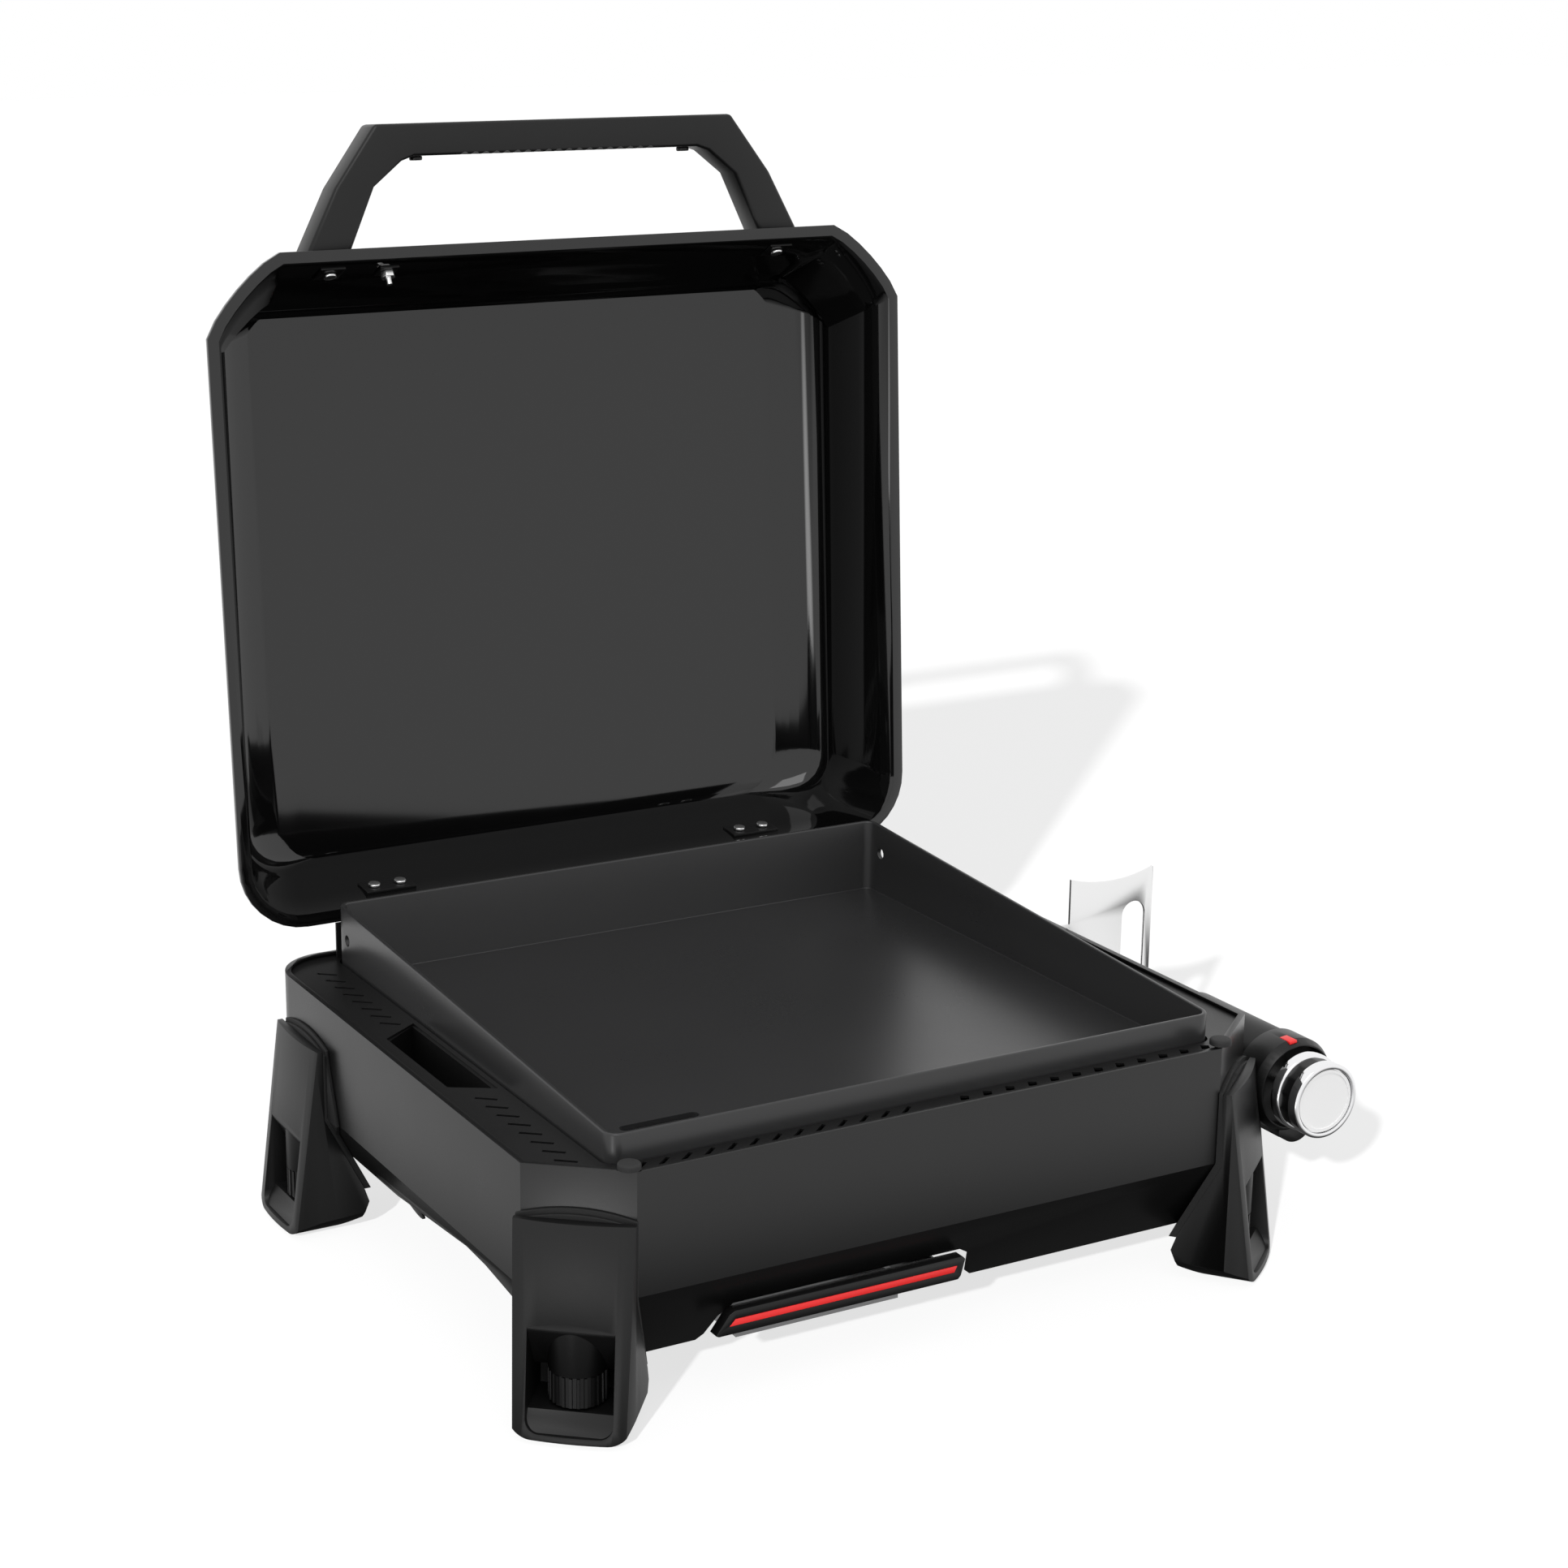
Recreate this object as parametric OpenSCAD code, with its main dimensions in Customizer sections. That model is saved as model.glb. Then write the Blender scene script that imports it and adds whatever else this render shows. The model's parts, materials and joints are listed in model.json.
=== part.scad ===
// Tabletop gas griddle with a hinged lid, levelling feet, a side gas control
// and a slide-out grease tray. Millimetres. +X is the cook's right, +Y is away
// from the cook, and the table top is the plane z = 0.

/* [Griddle pan] */
// Width of the griddle pan, outside its walls
pan_w = 432; // [340:1:560]
// Depth of the griddle pan, outside its walls
pan_d = 406; // [320:1:520]
// Thickness of the pan's walls
pan_t = 3; // [2:0.5:5]
// Thickness of the pan's floor
pan_floor_t = 3.5; // [2.5:0.5:6]
// Height of the front wall above the cooking floor
pan_front_h = 30; // [22:1:38]
// Height of the rear wall above the cooking floor
pan_rear_h = 52.5; // [40:0.5:58]
// Outside radius of the pan's upright corners
pan_r = 9; // [6:1:14]
// Depth of the cooking floor below the body's top rim
pan_sink = 14.5; // [8:0.5:20]
// Length of the grease slot in the pan's floor
slot_l = 54; // [30:1:80]
// Width of the grease slot
slot_w = 8; // [5:1:12]
// Distance from the pan's front edge to the grease slot's middle
slot_back = 71; // [40:1:110]
// Distance from the pan's middle to the grease slot's middle, to the left
slot_left = 145; // [110:1:170]

/* [Body] */
// Width of the deck beside the pan, on each side
side_margin = 45.5; // [38:0.5:70]
// Width of the deck in front of the pan
front_margin = 20.5; // [18:0.5:30]
// Width of the deck behind the pan
rear_margin = 12; // [10:0.5:20]
// Height of the body's top rim above the table
deck_h = 163; // [160:1:185]
// Thickness of the body's sheet steel
wall_t = 1.5; // [1:0.1:2.5]
// Front corner chamfer, measured along the width
corner_x = 53; // [46:1:62]
// Front corner chamfer, measured along the depth
corner_y = 43; // [38:1:52]
// Radius of the rear corners
rear_r = 36; // [24:1:45]
// Drop from the top rim to the crease round the body
crease_drop = 78; // [70:1:84]
// Drop from the top rim to the bottom edge
skirt_drop = 127.5; // [118:0.5:132]
// How far the band below the crease leans inwards
bevel_in = 24.8; // [18:0.2:28]
// How much higher the bottom edge is along the sides than in front
side_arch = 39; // [20:1:42]
// Depth of the black deck plate below the top rim
deck_sink = 2.5; // [2:0.5:5]
// Thickness of the deck plate
deck_t = 1.5; // [1:0.1:2.5]

/* [Lid] */
// How far the lid stands out beyond the body on each side
lid_over_side = 6.5; // [4:0.5:12]
// How far the lid stands out beyond the body's front
lid_over_front = 6.5; // [4:0.5:12]
// How far the lid stands out beyond the body's rear wall
lid_over_rear = 15; // [13:0.5:18]
// Height of the lid above its rim
lid_h = 92; // [80:1:110]
// Thickness of the lid's sheet steel
lid_t = 1.5; // [1:0.1:2.5]
// Width of the flat lip round the lid's rim
lip_w = 7; // [5:0.5:9]
// Angle through which the lid opens, from shut to resting on its stops
open_angle = 93.6; // [90:0.1:105]
// Height of the rubber bumpers' tops above the body's rim
bumper_h = 5; // [4:0.5:8]

/* [Lid handle] */
// Half the length of the grip, at its outer corners
grip_half = 138; // [110:1:160]
// Half the spread of the handle's feet
foot_half = 192; // [170:1:205]
// How far the handle stands out from the lid's rim
handle_reach = 83; // [70:1:95]
// Thickness of the grip, seen from the front
grip_h = 22; // [18:1:28]
// Thickness of the handle, front to back with the lid open
handle_t = 24; // [18:1:30]

/* [Hinge] */
// Distance of each hinge from the middle
hinge_x = 150; // [120:1:180]
// Length of a hinge along its pin
hinge_l = 44; // [36:1:56]
// Distance from the body's rear wall back to the hinge pin
hinge_back = 24; // [23:0.5:28]
// Height of the hinge pin above the body's top rim
hinge_up = 3.2; // [3:0.1:4]
// Radius of the hinge pin
pin_r = 2.5; // [2:0.1:3]
// Outside radius of the hinge knuckles
knuckle_r = 4.8; // [4.4:0.1:5.2]

/* [Legs] */
// Width of a leg at its top
leg_top_w = 72; // [64:1:78]
// Width of a leg at the table
leg_foot_w = 64; // [56:1:68]
// Height of a leg's top above the table
leg_h = 132.5; // [126:0.5:140]
// How far the top of a leg's face stands out from the body
leg_top_out = 11.3; // [10:0.1:13]
// How far the bottom of a leg's face stands out from the body
leg_foot_out = 29; // [24:0.5:34]
// Distance from the body's rear wall to the middle of the rear legs
rear_leg_in = 69; // [62:1:90]
// Radius of the curved face of a leg
leg_face_r = 200; // [150:1:300]
// Radius of the levelling wheel
wheel_r = 17.8; // [15:0.1:19]
// Height of the levelling wheel
wheel_h = 19; // [14:1:22]
// How far each foot can be wound down
foot_travel = 8; // [4:1:10]

/* [Gas control] */
// Distance from the body's side to the middle of the control tube
tube_out = 33.5; // [33:0.5:46]
// Depth of the control tube's middle below the body's top rim
tube_drop = 51.5; // [48:0.5:60]
// Radius of the control tube
tube_r = 30; // [28:0.5:30]
// Length of the control tube behind its bezel
tube_l = 92; // [86:1:140]
// Radius of the bezel round the knob
bezel_r = 32; // [31:0.5:33]
// Length of the bezel
bezel_l = 26; // [22:1:34]
// Distance from the body's front to the front of the bezel
bezel_back = 26.5; // [24:0.5:40]
// Radius of the knob
knob_r = 25.5; // [22:0.5:26]
// How far the knob stands out of the bezel
knob_out = 28; // [24:1:34]
// Number of flats round the knob's grip
knob_flats = 14; // [13:1:18]
// How far the knob can be pushed in
push_travel = 3; // [2:0.5:4]

/* [Grease tray] */
// Width of the tray's handle bar
tray_w = 174; // [150:1:190]
// Distance from the body's middle to the tray's middle, to the left
tray_left = 66; // [50:1:80]
// Depth of the tray, front to back
tray_d = 150; // [130:1:190]
// Height of the tray's handle bar
bar_h = 14.7; // [13:0.1:17]
// How far the tray pulls out
tray_travel = 130; // [100:5:145]

/* [Cylinder bracket] */
// Distance from the body's front to the cylinder bracket
cradle_back = 248; // [190:1:270]
// How far the cylinder bracket stands out from the body's side
cradle_out = 81; // [70:0.5:90]
// Height of the bracket's tips above the body's top rim
cradle_up = 32; // [26:1:42]

/* [Hidden] */
fit = 0.4;              // gap between pieces that lift or slide apart
rest_gap = 0.05;        // gap where one piece comes to rest on another
touch = 0.01;           // overlap that keeps a cut from leaving a skin
bore_gap = 0.06;        // running clearance round a pin
$fn = 48;
body_w = pan_w + 2 * side_margin;
body_d = pan_d + front_margin + rear_margin;
half_w = body_w / 2;
corner_len = sqrt(corner_x * corner_x + corner_y * corner_y);
corner_turn = atan(corner_y / corner_x);
crease_z = deck_h - crease_drop;
skirt_z = deck_h - skirt_drop;
deck_top = deck_h - deck_sink;
floor_z = deck_h - pan_sink;
pan_bottom = floor_z - pan_floor_t;
pan_gap = 1.5;          // gap round the pan in the deck's opening
pan_front = front_margin;
pan_rear = front_margin + pan_d;

lid_w = body_w + 2 * lid_over_side;
lid_d = body_d + lid_over_front + lid_over_rear;
hinge_y = body_d + hinge_back;
hinge_z = deck_h + hinge_up;
rim_back = hinge_back - lid_over_rear;   // from the lid's rear edge to the pin
rim_up = bumper_h - hinge_up;            // from the pin up to the shut lid's rim
side_draft = 10;        // how far the lid's side walls lean in, over wall_rise
wall_rise = 60;
cove_in = 54;           // width of the sloping cove beside the flat roof
front_draft = 41;       // how far the lid's front wall leans in, over its height
rear_draft = 17;
lid_corner_x = 54;      // front corner of the lid
lid_corner_y = 51;
lid_rear_r = 46;
slab = 0.2;             // thickness of the slabs that the lid is drawn through
front_slope = front_draft / lid_h;
rear_slope = rear_draft / lid_h;
front_wall_t = (lid_t + rest_gap) * cos(atan(front_slope));
screw_w = 16;           // height of the handle's screws above the lid's rim
hinge_screw_w = 28;     // height of the hinges' screws above the lid's rim
handle_foot_x = foot_half - 17;
brace_x = -133;         // stud that braces the front wall
stud_in = 11;           // how far that stud reaches into the lid
washer_t = 1.5;

leg_lean = atan((leg_foot_out - leg_top_out) / leg_h);
bevel_len = sqrt(pow(bevel_in, 2) + pow(skirt_drop - crease_drop, 2));
bevel_slope = bevel_in / (skirt_drop - crease_drop);
liner_t = 4.4;
front_leg_shift = 1;    // the front legs stand a little outwards of the chamfer's middle
leg_gap_z = 3.2;        // underside of the legs' plastic
pad_h = 2.8;
pad_r = 14;
stud_r = 4;
wheel_z = 20;           // underside of the levelling wheels
window_w = 52;          // opening in a leg's face, in front of the wheel
window_z = 7;
window_top = 75;
hood_r = 17.4;          // round hood over the wheel
hood_top = 67;
toe_z = 30;             // height of the leg's rear toe
leg_back = 45;          // depth of a leg behind the body's surface

tube_x = half_w + tube_out;
tube_z = deck_h - tube_drop;
tube_wall = 2.5;
tube_y = bezel_back + bezel_l;
tube_end = tube_y + tube_l;
knob_y = bezel_back - knob_out;
stem_r = 4;
jet_r = 3;
valve_y = tube_y + 6;
valve_l = 34;
jet_y = valve_y + 16;
regulator_y = tube_end - 34;
inlet_r = 7;            // gas inlet: bore, depth and how far its mouth is below the tube's middle
inlet_l = 12;
inlet_drop = tube_r + 6;

bar_z = skirt_z + 9.7;
bar_y = 4;              // front face of the tray's handle bar
bar_t = 8;
notch_gap = 1;
tray_x = -tray_left;
tray_z = bar_z + 2;
tray_h = 10;
tray_body_w = tray_w - 30;
drip_w = tray_body_w - 29;
drip_shift = -10;       // the drip pan hangs left of the tray's middle
drip_drop = 12;
drip_front = 5;         // tray floor left in front of the drip pan
drip_l = tray_travel - bar_y - bar_t - drip_front;   // it all comes out from under the skirt
tray_floor = 1.5;
shield_z = deck_h - 76; // heat shield
chute_z = shield_z - 5; // mouth of the grease chute
burner_z = deck_h - 55;
burner_r = 8;
burner_half = pan_w / 2 - 62;
burner_front = pan_front + 92;
burner_rear = pan_rear - 92;
cradle_low = 88;        // height of the bracket's plate below its tips
cradle_t = 2;
bracket_hole_y = 13;    // the bracket's screws, behind its plate
saddle_r = 110;
bracket_holes = [for (z = [12, 32]) deck_h + cradle_up - cradle_low + z];

// Middle of the whole object's box, which is the origin of the model
lid_back = hinge_y + sin(open_angle) * (rim_up + lid_h) +
    cos(open_angle) * (-rim_back - (lid_d - lip_w - front_draft));
front_reach = corner_y / 2 - cos(corner_turn) * (leg_foot_out - 4.5)
    - sin(corner_turn) * leg_foot_w / 2;
mid_x = (cradle_out - leg_foot_out) / 2;
mid_y = (lid_back + front_reach) / 2;

// ---------------------------------------------------------------- helpers

module at_origin() translate([-mid_x, -mid_y, 0]) children();

// Both sides of the object, mirrored about its middle
module both_sides() {
    children();
    mirror([1, 0, 0]) children();
}

// A cylinder along X that starts at x = 0
module rod_x(r, l) rotate([0, 90, 0]) cylinder(r = r, h = l);

// A cylinder along Y that starts at y = 0
module rod_y(r, l) rotate([-90, 0, 0]) cylinder(r = r, h = l);

// A ring along Y between two radii
module ring_y(r, inner, l) difference() {
    rod_y(r, l);
    translate([0, -1, 0]) rod_y(inner, l + 2);
}

// A rectangle with round corners, its lower left corner at the origin
module round_rect(w, d, r) {
    translate([r, 0]) square([w - 2 * r, d]);
    translate([0, r]) square([w, d - 2 * r]);
    for (x = [r, w - r], y = [r, d - r]) translate([x, y]) circle(r);
}

// Draws an outline given as [y, z] points, w wide, centred on x = 0
module across(w) translate([-w / 2, 0, 0]) rotate([90, 0, 90]) linear_extrude(w) children();

// Draws an outline given as [x, z] points, running from y = 0 to y = l
module along(l) translate([0, l, 0]) rotate([90, 0, 0]) linear_extrude(l) children();

// The body's outline, drawn in by a distance
module plan(inset = 0) {
    w = half_w - inset;
    cx = corner_x + inset * (corner_len - corner_x) / corner_y;
    cy = corner_y + inset * (corner_len - corner_y) / corner_x;
    r = rear_r - inset;
    rear = body_d - inset;
    polygon([
        [-w, cy], [-half_w + cx, inset], [half_w - cx, inset], [w, cy],
        [w, rear - r], [w - r, rear], [r - w, rear], [-w, rear - r]
    ]);
    for (x = [-1, 1]) translate([x * (w - r), rear - r]) circle(r);
}

// ---------------------------------------------------------------- body

module skirt_block(inset) hull() {
    translate([0, 0, crease_z]) linear_extrude(0.1) plan(inset);
    translate([0, 0, skirt_z]) linear_extrude(0.1) plan(inset + bevel_in);
}

// Opening in the front skirt for the tray's handle bar, with soft shoulders
module tray_notch() {
    top = bar_z + bar_h + notch_gap;
    half = tray_w / 2 + 1;
    translate([tray_x + 8, -1, 0]) along(bevel_in + wall_t + 12) {
        polygon([
            [-half - 12, skirt_z - 1], [-half - 6, skirt_z + 4], [-half, top - 8],
            [-half + 8, top], [half - 8, top], [half, top - 5], [half + 4, skirt_z + 4],
            [half + 10, skirt_z - 1]
        ]);
    }
}

// Long arch that lifts the side skirts above the table, highest behind the
// front legs, with a small round lug left standing in it
module side_arches() {
    near = corner_y + 4;
    peak = near + 84;
    far = body_d - rear_r - 6;
    lug = peak + 92;
    across(body_w + 20) difference() {
        polygon([
            [near - 6, skirt_z - 1], [near, skirt_z + side_arch - 17], [near + 32, skirt_z + side_arch - 15],
            [peak - 24, skirt_z + side_arch - 3], [peak, skirt_z + side_arch],
            [peak + 30, skirt_z + side_arch - 4], [lug + 34, skirt_z + side_arch - 18],
            [far, skirt_z + side_arch - 22], [far + 6, skirt_z - 1]
        ]);
        translate([lug, skirt_z + side_arch - 8]) circle(12);
    }
}

module body_shell() color("#3b3b3d") at_origin() difference() {
    union() {
        translate([0, 0, crease_z]) linear_extrude(crease_drop) difference() {
            plan();
            plan(wall_t);
        }
        difference() {
            skirt_block(0);
            skirt_block(wall_t);
            translate([-body_w, -body_d, crease_z]) cube([2 * body_w, 3 * body_d, 1]);
            translate([-body_w, -body_d, skirt_z - 1]) cube([2 * body_w, 3 * body_d, 1.2]);
        }
        translate([0, 0, deck_h - wall_t]) linear_extrude(wall_t) difference() {
            plan(touch);
            plan(4);
        }
    }
    tray_notch();
    side_arches();
    translate([half_w - 3, jet_y, tube_z]) rod_x(12, 6);
    for (z = bracket_holes) translate([half_w - 3, cradle_back + bracket_hole_y, z]) rod_x(2.5, 6);
}

// One leaning ventilation slot
module vent(l, w, lean) rotate([0, 0, lean]) translate([-l / 2, -w / 2]) square([l, w]);

module vents() {
    vent_pitch = 15.4;
    side_x = -half_w + 27;
    for (k = [0:7]) {
        translate([side_x, pan_rear - 26 - k * vent_pitch]) vent(14, 2.6, -39);
        translate([side_x, pan_front + 18 + k * vent_pitch]) vent(14, 2.6, -39);
    }
    front_y = pan_front / 2 + 1.5;
    for (k = [0:12]) translate([-pan_w / 2 + 16 + k * 15, front_y]) vent(13, 2.6, 40);
    for (k = [0:11]) translate([22 + k * 16.6, front_y]) vent(7, 5.5, 62);
}

// Outline of the scoop beside the pan, narrower at its outer edge
module scoop_outline(inset = 0) {
    outer = -half_w + 14 + inset;
    inner = -pan_w / 2 - 5 - inset;
    front = pan_front + 138 + inset;
    rear = pan_rear - 140 - inset;
    polygon([[outer, front + 16], [inner, front], [inner, rear], [outer, rear - 18]]);
}

module deck_frame() color("#19191a") at_origin() {
    open_w = pan_w + 2 * pan_gap;
    open_d = pan_d + 2 * pan_gap;
    flange_h = deck_top - pan_bottom + 4;
    rest = 14;
    translate([0, 0, deck_top - deck_t]) linear_extrude(deck_t) difference() {
        plan(wall_t);
        translate([-open_w / 2, pan_front - pan_gap]) round_rect(open_w, open_d, pan_r + pan_gap);
        vents();
        scoop_outline();
    }
    // upright flange round the opening
    translate([0, 0, deck_top - flange_h]) linear_extrude(flange_h) difference() {
        translate([-open_w / 2 - deck_t, pan_front - pan_gap - deck_t])
            round_rect(open_w + 2 * deck_t, open_d + 2 * deck_t, pan_r + pan_gap + deck_t);
        translate([-open_w / 2, pan_front - pan_gap]) round_rect(open_w, open_d, pan_r + pan_gap);
    }
    // four rests that the pan stands on
    for (x = [-1, 1], y = [pan_front + 60, pan_rear - 60])
        translate([x * (open_w / 2 - rest / 2 + touch) - rest / 2, y - 15, pan_bottom - 4])
            cube([rest, 30, 4]);
    // upstand that closes the gap behind the pan
    translate([-pan_w / 2, pan_rear + pan_gap, deck_top - deck_t])
        cube([pan_w, deck_t, 27]);
}

module side_scoop() color("#101011") at_origin() {
    depth = 34;
    lip = deck_top - deck_t;
    translate([0, 0, lip - depth]) linear_extrude(depth) difference() {
        scoop_outline();
        scoop_outline(1.5);
    }
    translate([0, 0, lip - depth]) linear_extrude(1.5) difference() {
        scoop_outline(touch);
        for (k = [0:4]) translate([-half_w + 20, pan_front + 165 + k * 18]) square([14, 6]);
    }
}

module heat_shield() color("silver") at_origin()
    translate([0, 0, shield_z]) linear_extrude(1.2) difference() {
        plan(wall_t + 0.05);
        translate([-slot_left - 34, pan_front + slot_back - 10]) square([68, 20]);
        for (x = [-1, 0, 1], y = [0.3, 0.7])
            translate([x * 120 + 30, pan_front + pan_d * y]) circle(12);
    }

module grease_chute() color("silver") at_origin()
    translate([-slot_left, pan_front + slot_back, chute_z]) {
        linear_extrude(pan_bottom - 2 - chute_z) difference() {
            translate([-34, -10]) square([68, 20]);
            translate([-33, -9]) square([66, 18]);
        }
    }

// ---------------------------------------------------------------- burner

module burner() color("lightgray") at_origin() difference() {
    union() {
        for (y = [burner_front, burner_rear]) translate([-burner_half, y, burner_z])
            rod_x(burner_r, 2 * burner_half);
        for (x = [-1, 1]) {
            translate([x * burner_half, burner_front, burner_z])
                rod_y(burner_r, burner_rear - burner_front);
            for (y = [burner_front, burner_rear])
                translate([x * burner_half, y, burner_z]) sphere(burner_r);
        }
        // socket for the venturi tube
        translate([burner_half, jet_y, burner_z]) rod_y(burner_r, burner_front - jet_y + touch);
        translate([burner_half, jet_y, burner_z]) sphere(burner_r);
    }
    translate([burner_half + 4, jet_y, burner_z]) rod_x(6.02, burner_r);
    port_pitch = 24;
    ports = floor(burner_half / port_pitch) - 1;
    for (k = [-ports:ports], y = [burner_front, burner_rear])
        translate([k * port_pitch, y, burner_z]) cylinder(r = 1.2, h = burner_r + 1);
}

module burner_brackets() color("silver") at_origin()
    for (x = [-1, 1], y = [burner_front, burner_rear])
        translate([x * burner_half * 0.7, y, shield_z + 1.2]) {
            h = burner_z - burner_r - shield_z - 1.2;
            translate([-8, -9, 0]) cube([16, 18, 1.5]);
            translate([-8, -1, 0]) cube([16, 2, h - touch]);
        }

// Tube that carries gas and air from the jet, through the wall, to the burner
module venturi_tube() color("lightgray") at_origin() {
    start = burner_half + 4.02;
    reach = half_w - 6 - start;
    translate([start, jet_y, burner_z]) difference() {
        union() {
            rod_x(6, reach);
            translate([reach - 22, 0, 0]) rod_x(10, 22);
        }
        translate([1, 0, 0]) rod_x(4.8, reach);
        translate([reach - 20, 0, 0]) rod_x(8.8, 21);
        translate([reach - 12, -20, -3]) cube([6, 40, 6]);
    }
}

module igniter_electrode() color("white") at_origin()
    translate([burner_half - 30, burner_front + burner_r + 5, shield_z + 1.2]) {
        cylinder(r = 4, h = 16);
        cylinder(r = 1.2, h = burner_z - shield_z + 6);
        translate([0, -5, burner_z - shield_z + 4]) rod_y(1.2, 5);
    }

// ---------------------------------------------------------------- pan

module griddle_pan() color("#3a3a3b") at_origin()
    translate([-pan_w / 2, pan_front, pan_bottom]) difference() {
        top = pan_floor_t + pan_rear_h;
        linear_extrude(top) round_rect(pan_w, pan_d, pan_r);
        translate([pan_t, pan_t, pan_floor_t]) linear_extrude(top)
            round_rect(pan_w - 2 * pan_t, pan_d - 2 * pan_t, pan_r - pan_t);
        // the side walls fall from the rear wall to the front wall
        translate([pan_w / 2, 0, 0]) across(pan_w + 2) polygon([
            [-1, pan_floor_t + pan_front_h], [pan_t, pan_floor_t + pan_front_h],
            [pan_d - pan_r, top], [pan_d - pan_r, top + 1], [-1, top + 1]
        ]);
        // grease slot
        translate([pan_w / 2 - slot_left - slot_l / 2, slot_back - slot_w / 2, -1])
            linear_extrude(pan_floor_t + 2) round_rect(slot_l, slot_w, slot_w / 2 - touch);
        // hole in each side wall, near the back
        translate([-1, pan_d - 18, pan_floor_t + pan_sink + 16]) rod_x(4, pan_w + 2);
    }

module bumper() {
    translate([0, 0, deck_h]) cylinder(r = 4, h = bumper_h - 4 + touch);
    translate([0, 0, deck_h + bumper_h - 4]) cylinder(r = 7, h = 4 - rest_gap);
}

module lid_bumpers() color("#2c2c2d") at_origin() both_sides()
    translate([-half_w + corner_x - 2.5, 5, 0]) bumper();

// ---------------------------------------------------------------- lid

// Places what is drawn in the lid's own frame: origin at the middle of the
// rear edge of its rim, the front at -Y and the roof at +Z
module lid_frame() at_origin() translate([0, hinge_y, hinge_z]) rotate([-open_angle, 0, 0])
    translate([0, -rim_back, rim_up]) children();

// The lid's outline at one level: half width, rear edge, front edge, rear radius
module lid_outline(half, rear, front, r) {
    cx = lid_corner_x - 4;
    cy = lid_corner_y - 4;
    soft = 16;          // radius where the chamfer meets the straight edges
    bulge = 3.5;        // how far the chamfer bows out
    hull() both_sides() {
        translate([half - r, -rear - r]) circle(r, $fn = 32);
        translate([half - soft, -front + cy + 4]) circle(soft, $fn = 32);
        translate([half - cx / 2 + bulge - soft * sqrt(0.5), -front + cy / 2 - bulge + soft * sqrt(0.5)])
            circle(soft, $fn = 32);
        translate([half - cx - 4, -front + soft]) circle(soft, $fn = 32);
    }
}

// Solid inside or outside of the lid, grown inwards by a distance
module lid_block(inset) hull() {
    half = lid_w / 2 - lip_w + lid_t - inset;
    rear = lip_w - lid_t - 1 + inset;
    front = lid_d - lip_w + lid_t - inset;
    r = lid_rear_r - lip_w;
    levels = [
        [0, 0], [wall_rise, side_draft], [lid_h - 8 - inset, side_draft + 18],
        [lid_h - slab - inset, cove_in]
    ];
    for (level = levels) {
        z = level[0];
        translate([0, 0, z]) linear_extrude(slab)
            lid_outline(half - level[1], rear + rear_slope * z, front - front_slope * z, r);
    }
}

module lid_shell() color("#161617") lid_frame() difference() {
    union() {
        lid_block(0);
        linear_extrude(lid_t) lid_outline(lid_w / 2, 0, lid_d, lid_rear_r);
        linear_extrude(4) difference() {
            lid_outline(lid_w / 2, 0, lid_d, lid_rear_r);
            lid_outline(lid_w / 2 - 1.5, 1.5, lid_d - 1.5, lid_rear_r - 1.5);
        }
    }
    translate([0, 0, -touch]) lid_block(lid_t);
    for (x = [-handle_foot_x, handle_foot_x, brace_x]) on_front_wall(x)
        translate([0, 0, -6]) cylinder(r = 2.4, h = 12);
    for (x = [-1, 1], k = [-1, 1]) on_rear_wall(x * hinge_x + k * 10)
        translate([0, 0, -6]) cylinder(r = 2.2, h = 12);
    translate([-hinge_x - 3, -60, 53]) rod_y(2, 60);
}

// The outsides of the lid's front and rear walls at a height above the rim
function front_face(w) = lid_d - lip_w + lid_t - front_slope * (w - slab);
function rear_face(w) = lip_w - lid_t - 1 + rear_slope * (w - slab);

module lid_handle() color("#2b2b2c") lid_frame() difference() {
    lead = 13;          // inset of the opening at the grip's ends
    low = lid_d - lip_w - 8;
    reach = lid_d + handle_reach;
    mid_out = (grip_half + foot_half) / 2 + 4;
    mid_in = mid_out - 29;
    translate([0, 0, 12]) linear_extrude(handle_t) difference() {
        polygon([
            [-foot_half, -low], [-foot_half, -lid_d], [-mid_out, -(lid_d + reach) / 2],
            [-grip_half, -reach], [grip_half, -reach], [mid_out, -(lid_d + reach) / 2],
            [foot_half, -lid_d], [foot_half, -low]
        ]);
        polygon([
            [-foot_half + 33, -low + 1], [-foot_half + 33, -lid_d], [-mid_in, -(lid_d + reach) / 2],
            [-grip_half + lead + 6, -reach + grip_h + 3], [-grip_half + lead + 12, -reach + grip_h],
            [grip_half - lead - 12, -reach + grip_h], [grip_half - lead - 6, -reach + grip_h + 3],
            [mid_in, -(lid_d + reach) / 2], [foot_half - 33, -lid_d], [foot_half - 33, -low + 1]
        ]);
    }
    // the feet sit against the sloping front wall
    across(2 * lid_w) polygon([
        [0, 0], [-front_face(0) - touch, 0], [-front_face(60) - touch, 60], [0, 60]
    ]);
    for (x = [-1, 1]) on_front_wall(x * handle_foot_x) translate([0, 0, -14]) cylinder(r = 2.1, h = 30);
    // shallow grooves under the grip, for the fingers
    groove_pitch = 8;
    for (k = [-9:9]) translate([k * groove_pitch, -reach + grip_h + 0.8, 11])
        cylinder(r = 3, h = handle_t + 2);
}

module handle_nubs() color("#2b2b2c") lid_frame() both_sides()
    translate([-104, -lid_d - handle_reach + grip_h, 12 + handle_t / 2]) rod_y(4.5, 3);

module handle_washers() color("#202021") lid_frame() {
    for (x = [-1, 1]) washer_at(x * handle_foot_x, 18);
    washer_at(brace_x, 14);
}

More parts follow.
